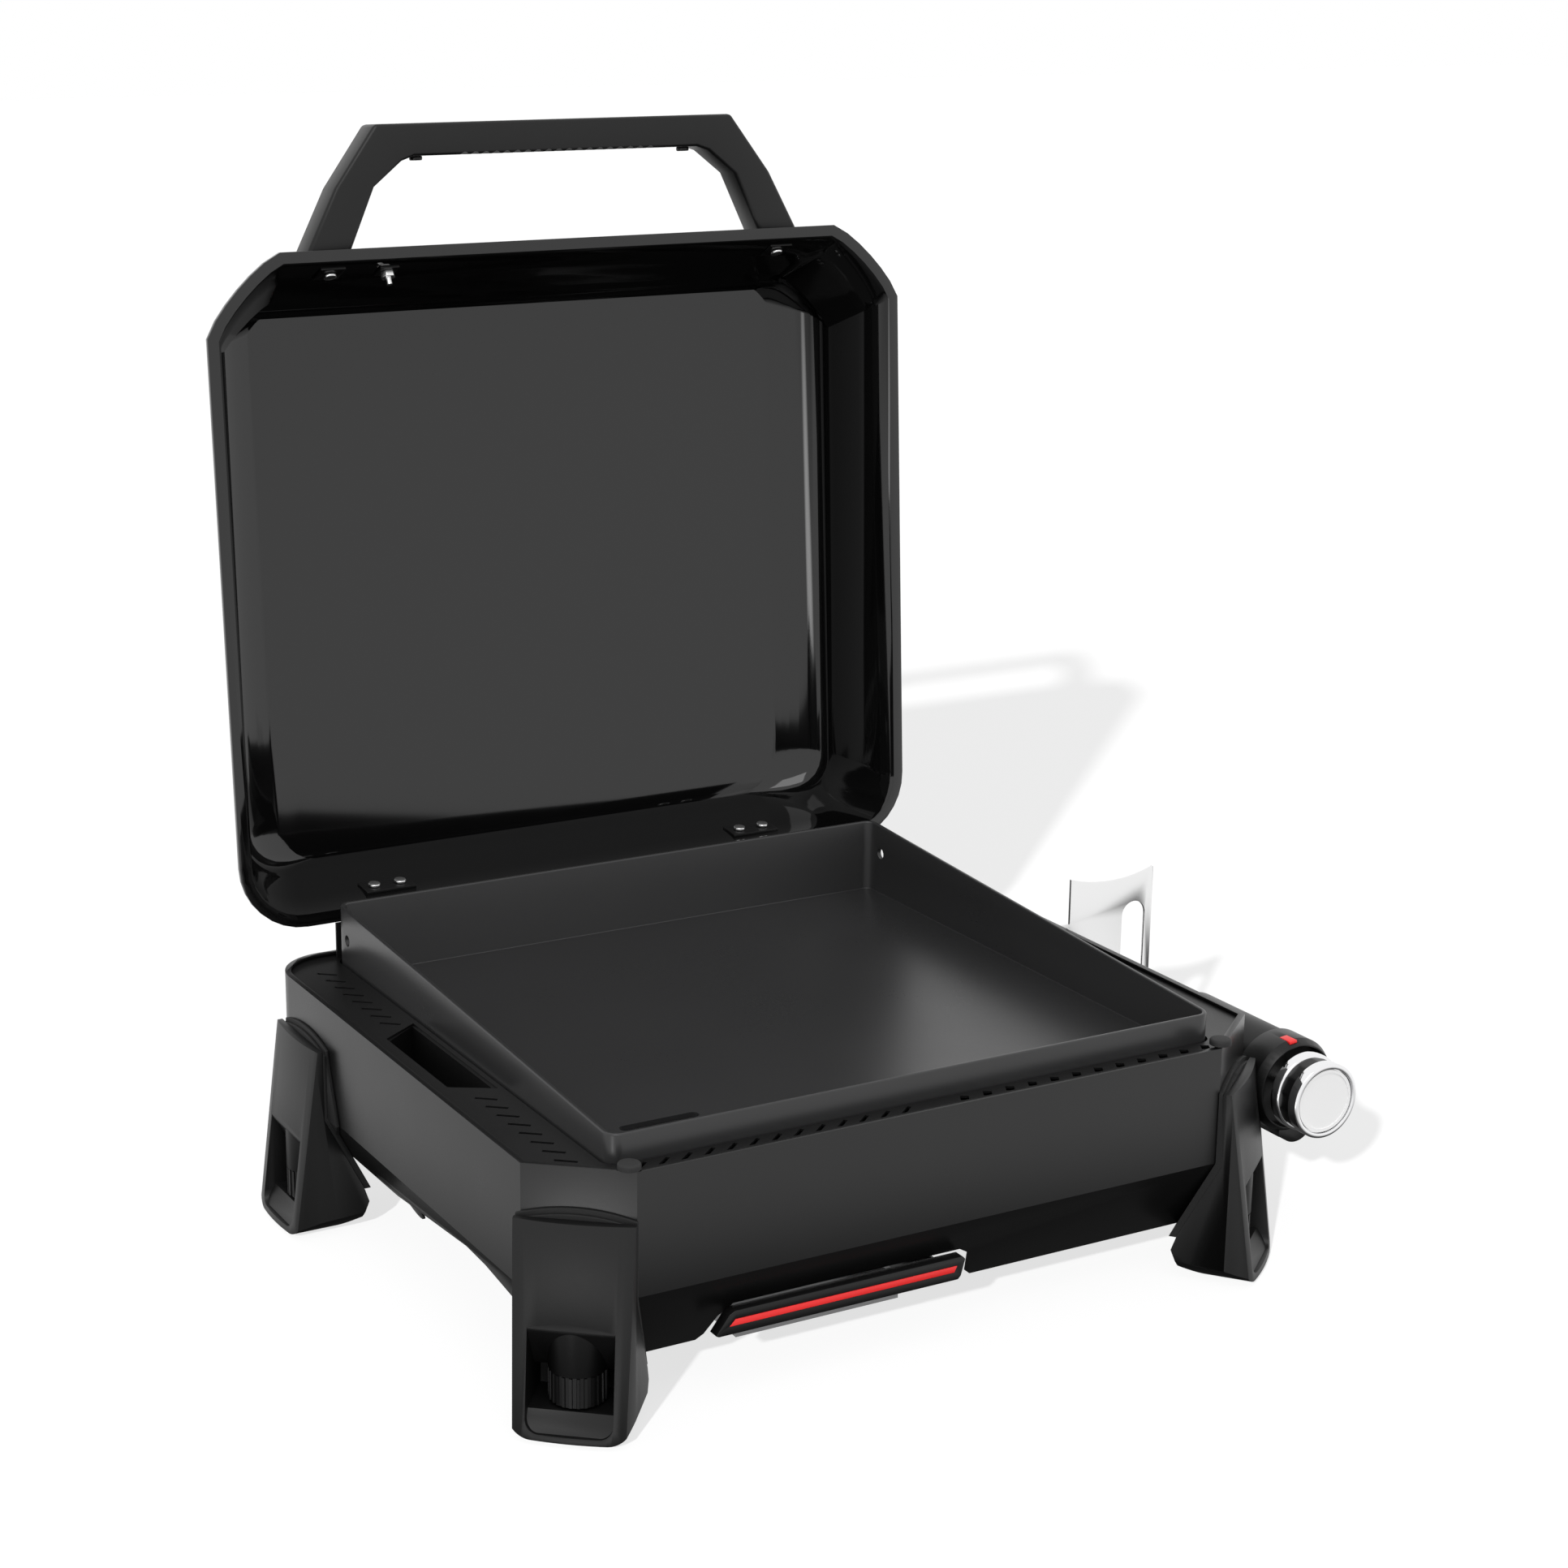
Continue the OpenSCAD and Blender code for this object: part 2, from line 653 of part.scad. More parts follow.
// A square washer flat on the inside of the lid's front wall
module washer_at(x, size) on_front_wall(x) difference() {
    translate([-size / 2, -size / 2, 0]) cube([size, size, washer_t]);
    translate([0, 0, -1]) cylinder(r = 2.4, h = 4);
}

// Places +Z along the inward normal of the lid's front wall, at a screw's height
module on_front_wall(x) translate([x, -front_face(screw_w) + lid_t + rest_gap, screw_w])
    rotate([-90 - atan(front_slope), 0, 0]) children();

module handle_screws() color("silver") lid_frame()
    for (x = [-1, 1]) on_front_wall(x * handle_foot_x) {
        translate([0, 0, washer_t]) cylinder(r = 4.5, h = 2.6);
        translate([0, 0, -11]) cylinder(r = 2, h = 13);
    }

module handle_brace_bolt() color("silver") lid_frame() on_front_wall(brace_x) {
    translate([0, 0, -front_wall_t - 3]) cylinder(r = 5, h = 3);
    translate([0, 0, -front_wall_t - 0.5]) cylinder(r = 2.2, h = front_wall_t + 0.5 + stud_in);
}

module handle_brace_nut() color("silver") lid_frame() on_front_wall(brace_x)
    translate([0, 0, washer_t]) difference() {
        cylinder(r = 5.2, h = 4.6, $fn = 6);
        translate([0, 0, -1]) cylinder(r = 2.2, h = 7);
    }

// ---------------------------------------------------------------- hinge

// Places what is drawn round a hinge pin, with the lid shut
module pin_frame() translate([0, rim_back, -rim_up]) children();

// A strap up the outside of the lid's rear wall, with its middle knuckle
module hinge_leaf(side) lid_frame() translate([side * hinge_x, 0, 0]) difference() {
    knuckle = hinge_l - 24;
    low = hinge_screw_w - 11;
    high = hinge_screw_w + 11;
    union() {
        across(hinge_l - 4) polygon([
            [-rear_face(low) + touch, low], [-rear_face(low) + 1.8, low],
            [-rear_face(high) + 1.8, high], [-rear_face(high) + touch, high]
        ]);
        across(knuckle - 0.4) polygon([
            [-rear_face(low) + touch, low], [-rear_face(low) + 1, low + 2], [rim_back + 1, low - 4],
            [rim_back + 1, 0], [rim_back - 1, 0], [rim_back - 1, low - 6],
            [-rear_face(low - 2) + touch, low - 2]
        ]);
        pin_frame() translate([-knuckle / 2 + 0.2, 0, 0]) rod_x(knuckle_r, knuckle - 0.4);
    }
    pin_frame() translate([-hinge_l, 0, 0]) rod_x(pin_r + bore_gap, 2 * hinge_l);
    for (k = [-1, 1]) on_rear_wall(k * 10) translate([0, 0, -8]) cylinder(r = 2.2, h = 16);
}

module hinge_leaf_left() color("#2a2a2b") hinge_leaf(-1);
module hinge_leaf_right() color("#2a2a2b") hinge_leaf(1);

// Places +Z along the inward normal of the lid's rear wall
module on_rear_wall(x) translate([x, -rear_face(hinge_screw_w) - lid_t - rest_gap, hinge_screw_w])
    rotate([90 + atan(rear_slope), 0, 0]) children();

module hinge_plates() color("#1d1d1e") lid_frame() for (side = [-1, 1])
    on_rear_wall(side * hinge_x) difference() {
        translate([-19, -9, 0]) cube([38, 18, washer_t]);
        for (k = [-1, 1]) translate([k * 10, 0, -1]) cylinder(r = 2.2, h = 4);
    }

module hinge_screws() color("silver") lid_frame() for (side = [-1, 1], k = [-1, 1])
    on_rear_wall(side * hinge_x + k * 10) {
        translate([0, 0, washer_t]) cylinder(r = 4.4, h = 2.4);
        translate([0, 0, -4.5]) cylinder(r = 2, h = 6.2);
    }

// A bracket behind the body with two outer knuckles
module hinge_bracket(side) at_origin() translate([side * hinge_x, 0, 0]) difference() {
    knuckle = 12;
    union() {
        translate([-hinge_l / 2, body_d, deck_h - 34]) cube([hinge_l, 2, 30]);
        for (k = [-1, 1]) translate([k * (hinge_l / 2 - knuckle / 2), 0, 0]) {
            across(knuckle) polygon([
                [body_d, deck_h - 30], [body_d + 2, deck_h - 30],
                [hinge_y + 2, hinge_z - 4], [hinge_y, hinge_z], [hinge_y - 4, hinge_z - 2],
                [body_d + 4, deck_h - 4], [body_d, deck_h - 4]
            ]);
            translate([-knuckle / 2, hinge_y, hinge_z]) rod_x(knuckle_r, knuckle);
        }
    }
    translate([-hinge_l, hinge_y, hinge_z]) rod_x(pin_r + bore_gap, 2 * hinge_l);
}

module hinge_bracket_left() color("#2a2a2b") hinge_bracket(-1);
module hinge_bracket_right() color("#2a2a2b") hinge_bracket(1);

module hinge_pins() color("silver") at_origin() for (side = [-1, 1])
    translate([side * hinge_x - hinge_l / 2 - 2, hinge_y, hinge_z]) {
        rod_x(pin_r, hinge_l + 4);
        translate([-1.5, 0, 0]) rod_x(pin_r + 1.6, 1.5);
    }

// ---------------------------------------------------------------- legs

// Front legs stand on the chamfered corners and rear legs on the side walls.
// In the leg's own frame -Y points out of the body and x = 0 is its middle.
module front_spot() at_origin() translate([-half_w + corner_x / 2, corner_y / 2, 0])
    rotate([0, 0, -corner_turn]) translate([-front_leg_shift, 0, 0]) children();
module rear_spot() at_origin() translate([-half_w, body_d - rear_leg_in, 0])
    rotate([0, 0, -90]) children();
module right_side() at_origin() mirror([1, 0, 0]) translate([mid_x, mid_y, 0]) children();

// A point on the body's bevelled skirt, moved out by a gap: [out, z]
function bevel_point(z, gap) = [
    -(crease_z - z) * bevel_slope + gap * bevel_len / (skirt_drop - crease_drop), z
];

module leg_side_profile(inner) {
    bend = bevel_point(crease_z - inner * 0.24, inner);
    tip = bevel_point(toe_z, inner);
    polygon([
        [-inner, leg_h], [-60, leg_h], [-60, leg_gap_z], [0, leg_gap_z], [21, 10],
        [-tip[0] + 3, toe_z - 9], [-tip[0], toe_z], [-bend[0], bend[1]]
    ]);
}

// The leg seen from in front: round at its bottom corners
module leg_front_profile() {
    top = leg_top_w / 2;
    low = leg_top_w / 2 + 1.5;
    r = 15;
    polygon([[-top, leg_h + 10], [-low, leg_gap_z + r], [low, leg_gap_z + r], [top, leg_h + 10]]);
    translate([-low + r, leg_gap_z]) square([2 * (low - r), r + touch]);
    for (x = [-1, 1]) translate([x * (low - r), leg_gap_z + r]) circle(r);
}

// The leg seen from above: narrower where it stands further out
module leg_plan() {
    polygon([
        [-leg_foot_w / 2, -leg_foot_out - 8], [-leg_top_w / 2, -leg_top_out + 2],
        [-leg_top_w / 2 - 1.5, leg_back], [leg_top_w / 2 + 1.5, leg_back],
        [leg_top_w / 2, -leg_top_out + 2], [leg_foot_w / 2, -leg_foot_out - 8]
    ]);
}

module leg_window() {
    half = window_w / 2;
    r = 8;
    translate([-half, window_z + r]) square([window_w, window_top - window_z - r]);
    translate([-half + r, window_z]) square([window_w - 2 * r, r + 1]);
    for (x = [r - half, half - r]) translate([x, window_z + r]) circle(r);
}

module leg() difference() {
    intersection() {
        across(leg_top_w + 10) leg_side_profile(liner_t);
        translate([0, -70, 0]) along(140) leg_front_profile();
        linear_extrude(leg_h + 10) leg_plan();
        translate([0, -leg_foot_out, 0]) rotate([-leg_lean, 0, 0])
            translate([0, leg_face_r, -20]) cylinder(r = leg_face_r, h = leg_h + 60, $fn = 96);
    }
    // hollow behind the window: its ceiling falls towards the back, and a
    // round hood comes down from it to the wheel
    difference() {
        intersection() {
            across(window_w) polygon([
                [-70, window_top], [-hood_r - 2, window_top], [-hood_r, hood_top],
                [0, wheel_z + wheel_h], [16, wheel_z + wheel_h], [16, wheel_z - 1.5],
                [-hood_r, wheel_z - 1.5], [4 - leg_foot_out, window_z], [-70, window_z]
            ]);
            translate([0, -80, 0]) along(110) leg_window();
        }
        translate([0, 0, wheel_z + wheel_h + fit]) cylinder(r = hood_r, h = leg_h);
    }
    // room for the wheel and the threaded stud
    translate([0, 0, wheel_z - fit]) cylinder(r = wheel_r + fit, h = wheel_h + 2 * fit);
    cylinder(r = stud_r + 0.3, h = wheel_z + wheel_h + 16);
}

// Dark packing between leg and body, in two layers with arched tops. On the
// side walls the inner layer spreads out towards the crease.
module leg_liner(spread) {
    arch_r = 120;
    half = leg_top_w / 2;
    low = 30;
    module layer(inner, outer, rise, wide) intersection() {
        across(2 * (half + wide)) polygon([
            [-inner, leg_h + rise], [-outer, leg_h + rise], bend_of(outer), low_of(outer, low),
            low_of(inner, low), bend_of(inner)
        ]);
        translate([0, -20, 0]) along(80) intersection() {
            polygon([
                [-half, leg_h + rise], [-half, leg_h - 4], [-half - wide, crease_z], [-half, crease_z - 12],
                [-half, 0], [half, 0], [half, crease_z - 12], [half + wide, crease_z], [half, leg_h - 4],
                [half, leg_h + rise]
            ]);
            translate([0, leg_h + rise - arch_r]) circle(arch_r);
        }
    }
    layer(0.02, liner_t / 2, 6, spread);
    layer(liner_t / 2, liner_t - 0.02, 3, 0.01);
}
function bend_of(gap) = let (p = bevel_point(crease_z - gap * 0.24, gap)) [-p[0], p[1]];
function low_of(gap, z) = let (p = bevel_point(z, gap)) [-p[0], p[1]];

module wheel() translate([0, 0, wheel_z]) difference() {
    grooves = 24;
    cylinder(r = wheel_r, h = wheel_h);
    translate([0, 0, -1]) cylinder(r = stud_r + bore_gap, h = wheel_h + 2);
    for (k = [0:grooves - 1]) rotate([0, 0, k * 360 / grooves])
        translate([wheel_r + 0.2, 0, -1]) cylinder(r = 1.1, h = wheel_h + 2);
}

module foot() {
    cylinder(r = pad_r, h = pad_h);
    translate([0, 0, pad_h - touch]) cylinder(r = stud_r, h = wheel_z + wheel_h + 6);
}

module leg_front_left() color("#343436") front_spot() leg();
module leg_front_right() color("#343436") difference() {
    right_side() front_spot() leg();
    bezel_space();
}
module leg_rear_left() color("#343436") rear_spot() leg();
module leg_rear_right() color("#343436") right_side() rear_spot() leg();
module liner_front_left() color("#1f1f20") front_spot() leg_liner(0.01);
module liner_front_right() color("#1f1f20") difference() {
    right_side() front_spot() leg_liner(0.01);
    bezel_space();
}
module liner_rear_left() color("#1f1f20") rear_spot() leg_liner(16);
module liner_rear_right() color("#1f1f20") right_side() rear_spot() leg_liner(16);
module wheel_front_left() color("#3c3c3e") front_spot() wheel();
module wheel_front_right() color("#3c3c3e") right_side() front_spot() wheel();
module wheel_rear_left() color("#3c3c3e") rear_spot() wheel();
module wheel_rear_right() color("#3c3c3e") right_side() rear_spot() wheel();
module foot_front_left() color("#262627") front_spot() foot();
module foot_front_right() color("#262627") right_side() front_spot() foot();
module foot_rear_left() color("#262627") rear_spot() foot();
module foot_rear_right() color("#262627") right_side() rear_spot() foot();

// ---------------------------------------------------------------- gas control

module tube_frame() at_origin() translate([tube_x, 0, tube_z]) children();

// Room for the bezel, where it stands close to the front leg
module bezel_space() tube_frame() translate([0, bezel_back - 3, 0]) rod_y(bezel_r + 0.6, bezel_l + 60);

module control_tube() color("#1b1b1c") tube_frame() difference() {
    union() {
        translate([0, tube_y, 0]) rod_y(tube_r, tube_l - 6);
        translate([0, tube_end - 6, 0]) rotate([-90, 0, 0]) cylinder(r1 = tube_r, r2 = tube_r - 5, h = 6);
    }
    translate([0, tube_y - 1, 0]) rod_y(tube_r - tube_wall, tube_l - 4);
    translate([0, tube_y, 0]) rod_y(17, tube_l + 4);
    translate([-tube_r - 4, jet_y, 0]) rod_x(10, 14);
    translate([0, regulator_y + 11, -tube_r - 4]) cylinder(r = inlet_r + 3.3, h = tube_r);
}

module tube_bezel() color("#1b1b1c") tube_frame() difference() {
    lip = 6;
    union() {
        translate([0, bezel_back + lip, 0]) rod_y(bezel_r, bezel_l - lip);
        translate([0, bezel_back + lip + touch, 0]) rotate([90, 0, 0])
            cylinder(r1 = bezel_r, r2 = bezel_r - 3, h = lip);
    }
    translate([0, bezel_back - 1, 0]) rod_y(knob_r + 2.5, 13);
    translate([0, bezel_back, 0]) rod_y(stem_r + 3, bezel_l + 2);
    translate([0, bezel_back + 16, 0]) rod_y(tube_r - tube_wall, bezel_l);
    // seat for the index mark
    rotate([0, -6, 0]) translate([-3, bezel_back - 1, bezel_r - 2]) cube([6, 14, 6]);
}

module index_mark() color("red") tube_frame() rotate([0, -6, 0])
    intersection() {
        translate([-3, bezel_back + 2.5, bezel_r - 2]) cube([6, 10.5, 2.2]);
        translate([0, bezel_back, 0]) rod_y(bezel_r + 0.2, 20);
    }

// Block that ties the tube to the body's side wall, with a lump underneath
module tube_saddle() color("#2a2a2b") at_origin() difference() {
    near = tube_y + 4;
    wide = 62;
    union() {
        translate([half_w, near, tube_z - 24]) cube([tube_out - 8, wide, 40]);
        translate([tube_x - 6, near - 22, tube_z - tube_r - 7]) cube([28, 60, 16]);
        translate([tube_x + 8, near - 22, tube_z - tube_r + 1]) rod_y(14, 60);
    }
    translate([tube_x, bezel_back - 8, tube_z]) rod_y(tube_r + 0.02, tube_l + 80);
    translate([tube_x, bezel_back - 8, tube_z]) rod_y(bezel_r + 0.3, bezel_l + 8.3);
    translate([half_w - 5, jet_y, tube_z]) rod_x(12, 60);
}

module valve_body() color("#b8a46a") tube_frame() translate([0, valve_y, 0]) difference() {
    union() {
        rod_y(12, valve_l);
        translate([0, valve_l - 14, -8]) cube([8, 10, 16]);
        translate([-19, jet_y - valve_y, 0]) rod_x(6, 12);
        ring_y(tube_r - tube_wall - 0.1, 10, 3);
    }
    translate([0, -1, 0]) rod_y(stem_r + bore_gap, 24);
    translate([0, -1, 0]) rod_y(8.5, 10);
    translate([-20, jet_y - valve_y, 0]) rod_x(jet_r + bore_gap, 8);
}

module gas_jet() color("#b8a46a") tube_frame() translate([-32, jet_y, 0]) difference() {
    union() {
        rod_x(4.5, 13);
        translate([13 - touch, 0, 0]) rod_x(jet_r, 7);
    }
    translate([-1, 0, 0]) rod_x(0.8, 8);
}

// Regulator in the rear of the tube, with its outlet pipe in front and its
// gas inlet in a spigot that leaves through the underside of the tube
module regulator() color("#8f9092") tube_frame() translate([0, regulator_y, 0]) {
    outlet = regulator_y - valve_y - valve_l;
    difference() {
        union() {
            rod_y(tube_r - tube_wall - 0.1, 22);
            translate([0, 22 - touch, 0]) rod_y(15, tube_end - regulator_y - 20);
            translate([0, -outlet, 0]) rod_y(4, outlet + touch);
            translate([0, 11, -inlet_drop]) cylinder(r = inlet_r + 3, h = inlet_drop);
        }
        translate([0, 11, -inlet_drop - 1]) cylinder(r = inlet_r, h = inlet_l + 1);
    }
}

// Collar that rides in the valve's mouth and moves in and out with the stem
module push_collar() color("silver") tube_frame() translate([0, valve_y + 1, 0])
    ring_y(8.4, stem_r + bore_gap, 3);

module valve_stem() color("silver") tube_frame() translate([0, knob_y + 8, 0])
    rod_y(stem_r, valve_y + 10 - knob_y);

module knob_skirt() color("#d9d9da") tube_frame() translate([0, bezel_back - 12, 0])
    ring_y(knob_r + 1, stem_r + bore_gap, 7);

module knob_grip() color("#202122") tube_frame() translate([0, knob_y + 7, 0]) difference() {
    flat_bar(knob_r - 1, knob_out - 19);
    translate([0, 1, 0]) rod_y(stem_r + bore_gap, 30);
}

// A many-sided bar along Y
module flat_bar(r, l) translate([0, l, 0]) rotate([90, 0, 0]) linear_extrude(l)
    polygon([for (k = [0:knob_flats - 1]) let (turn = k * 360 / knob_flats) r * [cos(turn), sin(turn)]]);

module knob_ring() color("#e4e4e5") tube_frame() translate([0, knob_y, 0])
    difference() {
        rod_y(knob_r, 7);
        translate([0, -1, 0]) rod_y(knob_r - 3.4, 2.5);
    }

module knob_face() color("#f0f0f0") tube_frame() translate([0, knob_y + 0.3, 0])
    rod_y(knob_r - 4.2, 1.2);

// ---------------------------------------------------------------- tray

module grease_tray() color("#2b2b2d") at_origin() translate([tray_x, bar_y + bar_t, tray_z]) difference() {
    w = tray_body_w;
    translate([-w / 2, 0, 0]) cube([w, tray_d, tray_h]);
    translate([-w / 2 + 1.5, 1.5, tray_floor]) cube([w - 3, tray_d - 3, tray_h]);
    translate([drip_shift - drip_w / 2, drip_front, -1]) cube([drip_w, drip_l, 4]);
}

module tray_handle() color("#333336") at_origin() translate([tray_x, bar_y, bar_z]) difference() {
    bar_block();
    translate([0, -touch, 0]) stripe_outline(0.02, 0.8);
}

// The bar's lozenge, with its left end leaning
module bar_block() along(bar_t - touch) {
    half = tray_w / 2;
    polygon([
        [-half - 1, 1], [-half + 1, 0], [half - 5, 0], [half - 3, 2], [half, bar_h - 2],
        [half - 2, bar_h], [-half + 12, bar_h], [-half + 8, bar_h - 2]
    ]);
}

module stripe_outline(grow, depth) along(depth) polygon([
    [-tray_w / 2 + 8 - grow, bar_h / 2 - 2 - grow], [tray_w / 2 - 8 + grow, bar_h / 2 - 2 - grow],
    [tray_w / 2 - 6 + grow, bar_h / 2 + 2 + grow], [-tray_w / 2 + 12 - grow, bar_h / 2 + 2 + grow]
]);

module tray_stripe() color("red") at_origin() translate([tray_x, bar_y - 0.3, bar_z])
    stripe_outline(0, 1);

// Loose pan that hangs by its rim in the tray's floor
module drip_pan() color("#8b8c8e") at_origin()
    translate([tray_x + drip_shift, bar_y + bar_t + drip_front, tray_z]) difference() {
        w = drip_w - 2 * fit;
        d = drip_l - 2 * fit;
        rim = 2.5;
        union() {
            translate([-w / 2, fit, -drip_drop]) cube([w, d, drip_drop + tray_floor + 1]);
            translate([-w / 2 - rim, fit - rim, tray_floor + 0.05]) cube([w + 2 * rim, d + 2 * rim, 0.95]);
        }
        translate([-w / 2 + 1.5, fit + 1.5, 1.5 - drip_drop]) cube([w - 3, d - 3, drip_drop + 10]);
    }

// ---------------------------------------------------------------- cylinder bracket

// Upright plate with a shallow saddle on top, screwed to the body's side
module cylinder_bracket() color("#e9e9ea") at_origin() translate([half_w, cradle_back, 0]) difference() {
    top = deck_h + cradle_up;
    saddle_depth = 6;
    lid_room = lid_over_side + 2.5;     // the plate steps out to clear the shut lid
    union() {
        translate([0, 0, top - cradle_low]) cube([cradle_out, cradle_t, cradle_low]);
        translate([0, 0, top - cradle_low]) cube([cradle_t, 22, 44]);
    }
    translate([-1, -1, deck_h - 1]) cube([lid_room + 1, cradle_t + 2, cradle_up + 2]);
    translate([(cradle_out + lid_room) / 2, -1, top - saddle_depth + saddle_r]) rod_y(saddle_r, cradle_t + 2);
    // window beside the outer edge, round at its top
    translate([cradle_out - 26, -1, top - cradle_low + 12]) {
        cube([20, cradle_t + 2, cradle_low - 46]);
        translate([10, 0, cradle_low - 46]) rod_y(10, cradle_t + 2);
    }
    for (z = bracket_holes) translate([-1, bracket_hole_y, z]) rod_x(2.6, 5);
}

module bracket_screws() color("silver") at_origin()
    for (z = bracket_holes) translate([half_w - 4, cradle_back + bracket_hole_y, z]) {
        rod_x(2.4, 4 + cradle_t + 1);
        translate([4 + cradle_t, 0, 0]) rod_x(4.5, 2.4);
    }

body_shell();
deck_frame();
side_scoop();
heat_shield();
grease_chute();
burner();
burner_brackets();
venturi_tube();
igniter_electrode();
griddle_pan();
lid_bumpers();
lid_shell();
lid_handle();
handle_nubs();
handle_washers();
handle_screws();
handle_brace_bolt();
handle_brace_nut();
hinge_leaf_left();
hinge_leaf_right();
hinge_plates();
hinge_screws();
hinge_bracket_left();
hinge_bracket_right();
hinge_pins();
leg_front_left();
leg_front_right();
leg_rear_left();
leg_rear_right();
liner_front_left();
liner_front_right();
liner_rear_left();
liner_rear_right();
wheel_front_left();
wheel_front_right();
wheel_rear_left();
wheel_rear_right();
foot_front_left();
foot_front_right();
foot_rear_left();
foot_rear_right();
control_tube();
tube_bezel();
index_mark();
tube_saddle();
valve_body();
gas_jet();
regulator();
push_collar();
valve_stem();
knob_skirt();
knob_grip();
knob_ring();
knob_face();
grease_tray();
tray_handle();
tray_stripe();
drip_pan();
cylinder_bracket();
bracket_screws();
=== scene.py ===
# %% [markdown]
# # A portable tabletop gas griddle
# The real thing is a deep black lid on two hinges, a steel plate that lifts out, a painted
# sheet-steel body on four plastic legs, and a gas knob in a tube at the side. The packed
# model gives every piece its place, its size and its joints. This lesson gives them their looks:
# each piece that the eye rests on is modelled again with soft edges, and each one gets a finish.

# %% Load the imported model
import json
import math

import bmesh
import bpy
from mathutils import Matrix, Vector


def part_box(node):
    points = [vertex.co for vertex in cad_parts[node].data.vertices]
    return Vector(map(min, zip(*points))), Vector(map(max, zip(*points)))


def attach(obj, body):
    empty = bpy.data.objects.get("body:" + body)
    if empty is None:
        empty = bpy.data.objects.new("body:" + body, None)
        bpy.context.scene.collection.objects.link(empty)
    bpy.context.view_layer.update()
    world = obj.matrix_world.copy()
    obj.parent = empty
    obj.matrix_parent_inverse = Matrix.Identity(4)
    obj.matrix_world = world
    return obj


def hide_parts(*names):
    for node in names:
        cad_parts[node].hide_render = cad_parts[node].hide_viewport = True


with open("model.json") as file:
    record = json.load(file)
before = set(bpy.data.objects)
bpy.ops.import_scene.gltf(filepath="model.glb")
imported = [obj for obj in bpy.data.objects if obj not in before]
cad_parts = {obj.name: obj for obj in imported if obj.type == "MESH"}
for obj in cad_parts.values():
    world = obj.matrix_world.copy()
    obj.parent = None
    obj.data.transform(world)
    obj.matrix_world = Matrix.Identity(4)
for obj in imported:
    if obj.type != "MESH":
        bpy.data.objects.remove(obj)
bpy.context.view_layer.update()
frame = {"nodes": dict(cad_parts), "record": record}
NODES = frame["nodes"]
MM = 0.001

# %% [markdown]
# ## The stage
# The object stands on a plain white floor in a white room. A black object shows little but what
# it reflects, so the room matters more than the lamps: it is white from a little below the
# horizon upwards and dark further down, which is what makes the flat of the lid an even grey and
# leaves the slopes that face the ground nearly black. The floor itself is kept out of the
# reflections. One sun, low at the front left, lights the floor alone and throws the pale shadow.

# %% The camera, the floor and the lamps
scene = bpy.context.scene
CAMERA_SPOT = Vector((-959.2, -1653.2, 831.3)) * MM
CAMERA_TURN, CAMERA_DIP = 27.94, 15.72      # degrees to the object's right, and down
LENS, SENSOR = 67.83, 36.0
SHIFT_X, SHIFT_Y = 0.0913, -0.0037

camera = bpy.data.objects.new("camera", bpy.data.cameras.new("camera"))
scene.collection.objects.link(camera)
scene.camera = camera
camera.data.lens, camera.data.sensor_width = LENS, SENSOR
camera.data.shift_x, camera.data.shift_y = SHIFT_X, SHIFT_Y
camera.location = CAMERA_SPOT
camera.rotation_euler = (math.radians(90 - CAMERA_DIP), 0, math.radians(-CAMERA_TURN))
camera.data.clip_end = 50

bpy.ops.object.select_all(action="DESELECT")
bpy.ops.mesh.primitive_plane_add(size=30, location=(0, 0, 0))
floor = bpy.context.object
floor.name = "floor"

SUN_WAY = Vector((-0.658, -0.605, 0.448))      # from the object to the sun
SUN_POWER, SUN_SPREAD = 14, math.radians(1.6)
FILL_SPOT, FILL_AIM = Vector((-0.9, -1.6, 2.6)), Vector((0, 0, 0.2))
FILL_POWER, FILL_SIZE = 20, 1.6
floor.visible_diffuse = floor.visible_glossy = False
sun = bpy.data.objects.new("sun", bpy.data.lights.new("sun", "SUN"))
sun.data.energy, sun.data.angle = SUN_POWER, SUN_SPREAD
sun.rotation_euler = SUN_WAY.to_track_quat("Z", "Y").to_euler()
scene.collection.objects.link(sun)
lit_by_sun = bpy.data.collections.new("lit_by_sun")
lit_by_sun.objects.link(floor)
sun.light_linking.receiver_collection = lit_by_sun

fill = bpy.data.objects.new("fill", bpy.data.lights.new("fill", "AREA"))
fill.data.energy, fill.data.size = FILL_POWER, FILL_SIZE
fill.location = FILL_SPOT
fill.rotation_euler = (FILL_SPOT - FILL_AIM).to_track_quat("Z", "Y").to_euler()
scene.collection.objects.link(fill)
scene.view_settings.view_transform = "Standard"
print("camera at", tuple(round(v, 3) for v in camera.location))

# %% [markdown]
# ## Finishes, written as sums
# A finish is a small web of nodes. Wiring it by hand in code is hard to read, so a socket is
# wrapped in a class that knows plus, minus and times, and one method adds any other node. With
# those two, a finish reads like a recipe.

# %% A socket that can be added and multiplied
class Sock:
    """One output socket. Arithmetic on it adds a Math node and gives back the new output."""

    def __init__(self, tree, socket):
        self.tree, self.socket = tree, socket

    def node(self, kind, settings=None, output=0, **values):
        return add_node(self.tree, kind, settings, output, **values)

    def math(self, operation, *others):
        values = {str(i): v for i, v in enumerate((self, *others))}
        return add_node(self.tree, "ShaderNodeMath", {"operation": operation}, 0, **values)

    def __add__(self, other): return self.math("ADD", other)
    def __mul__(self, other): return self.math("MULTIPLY", other)
    def __sub__(self, other): return self.math("SUBTRACT", other)


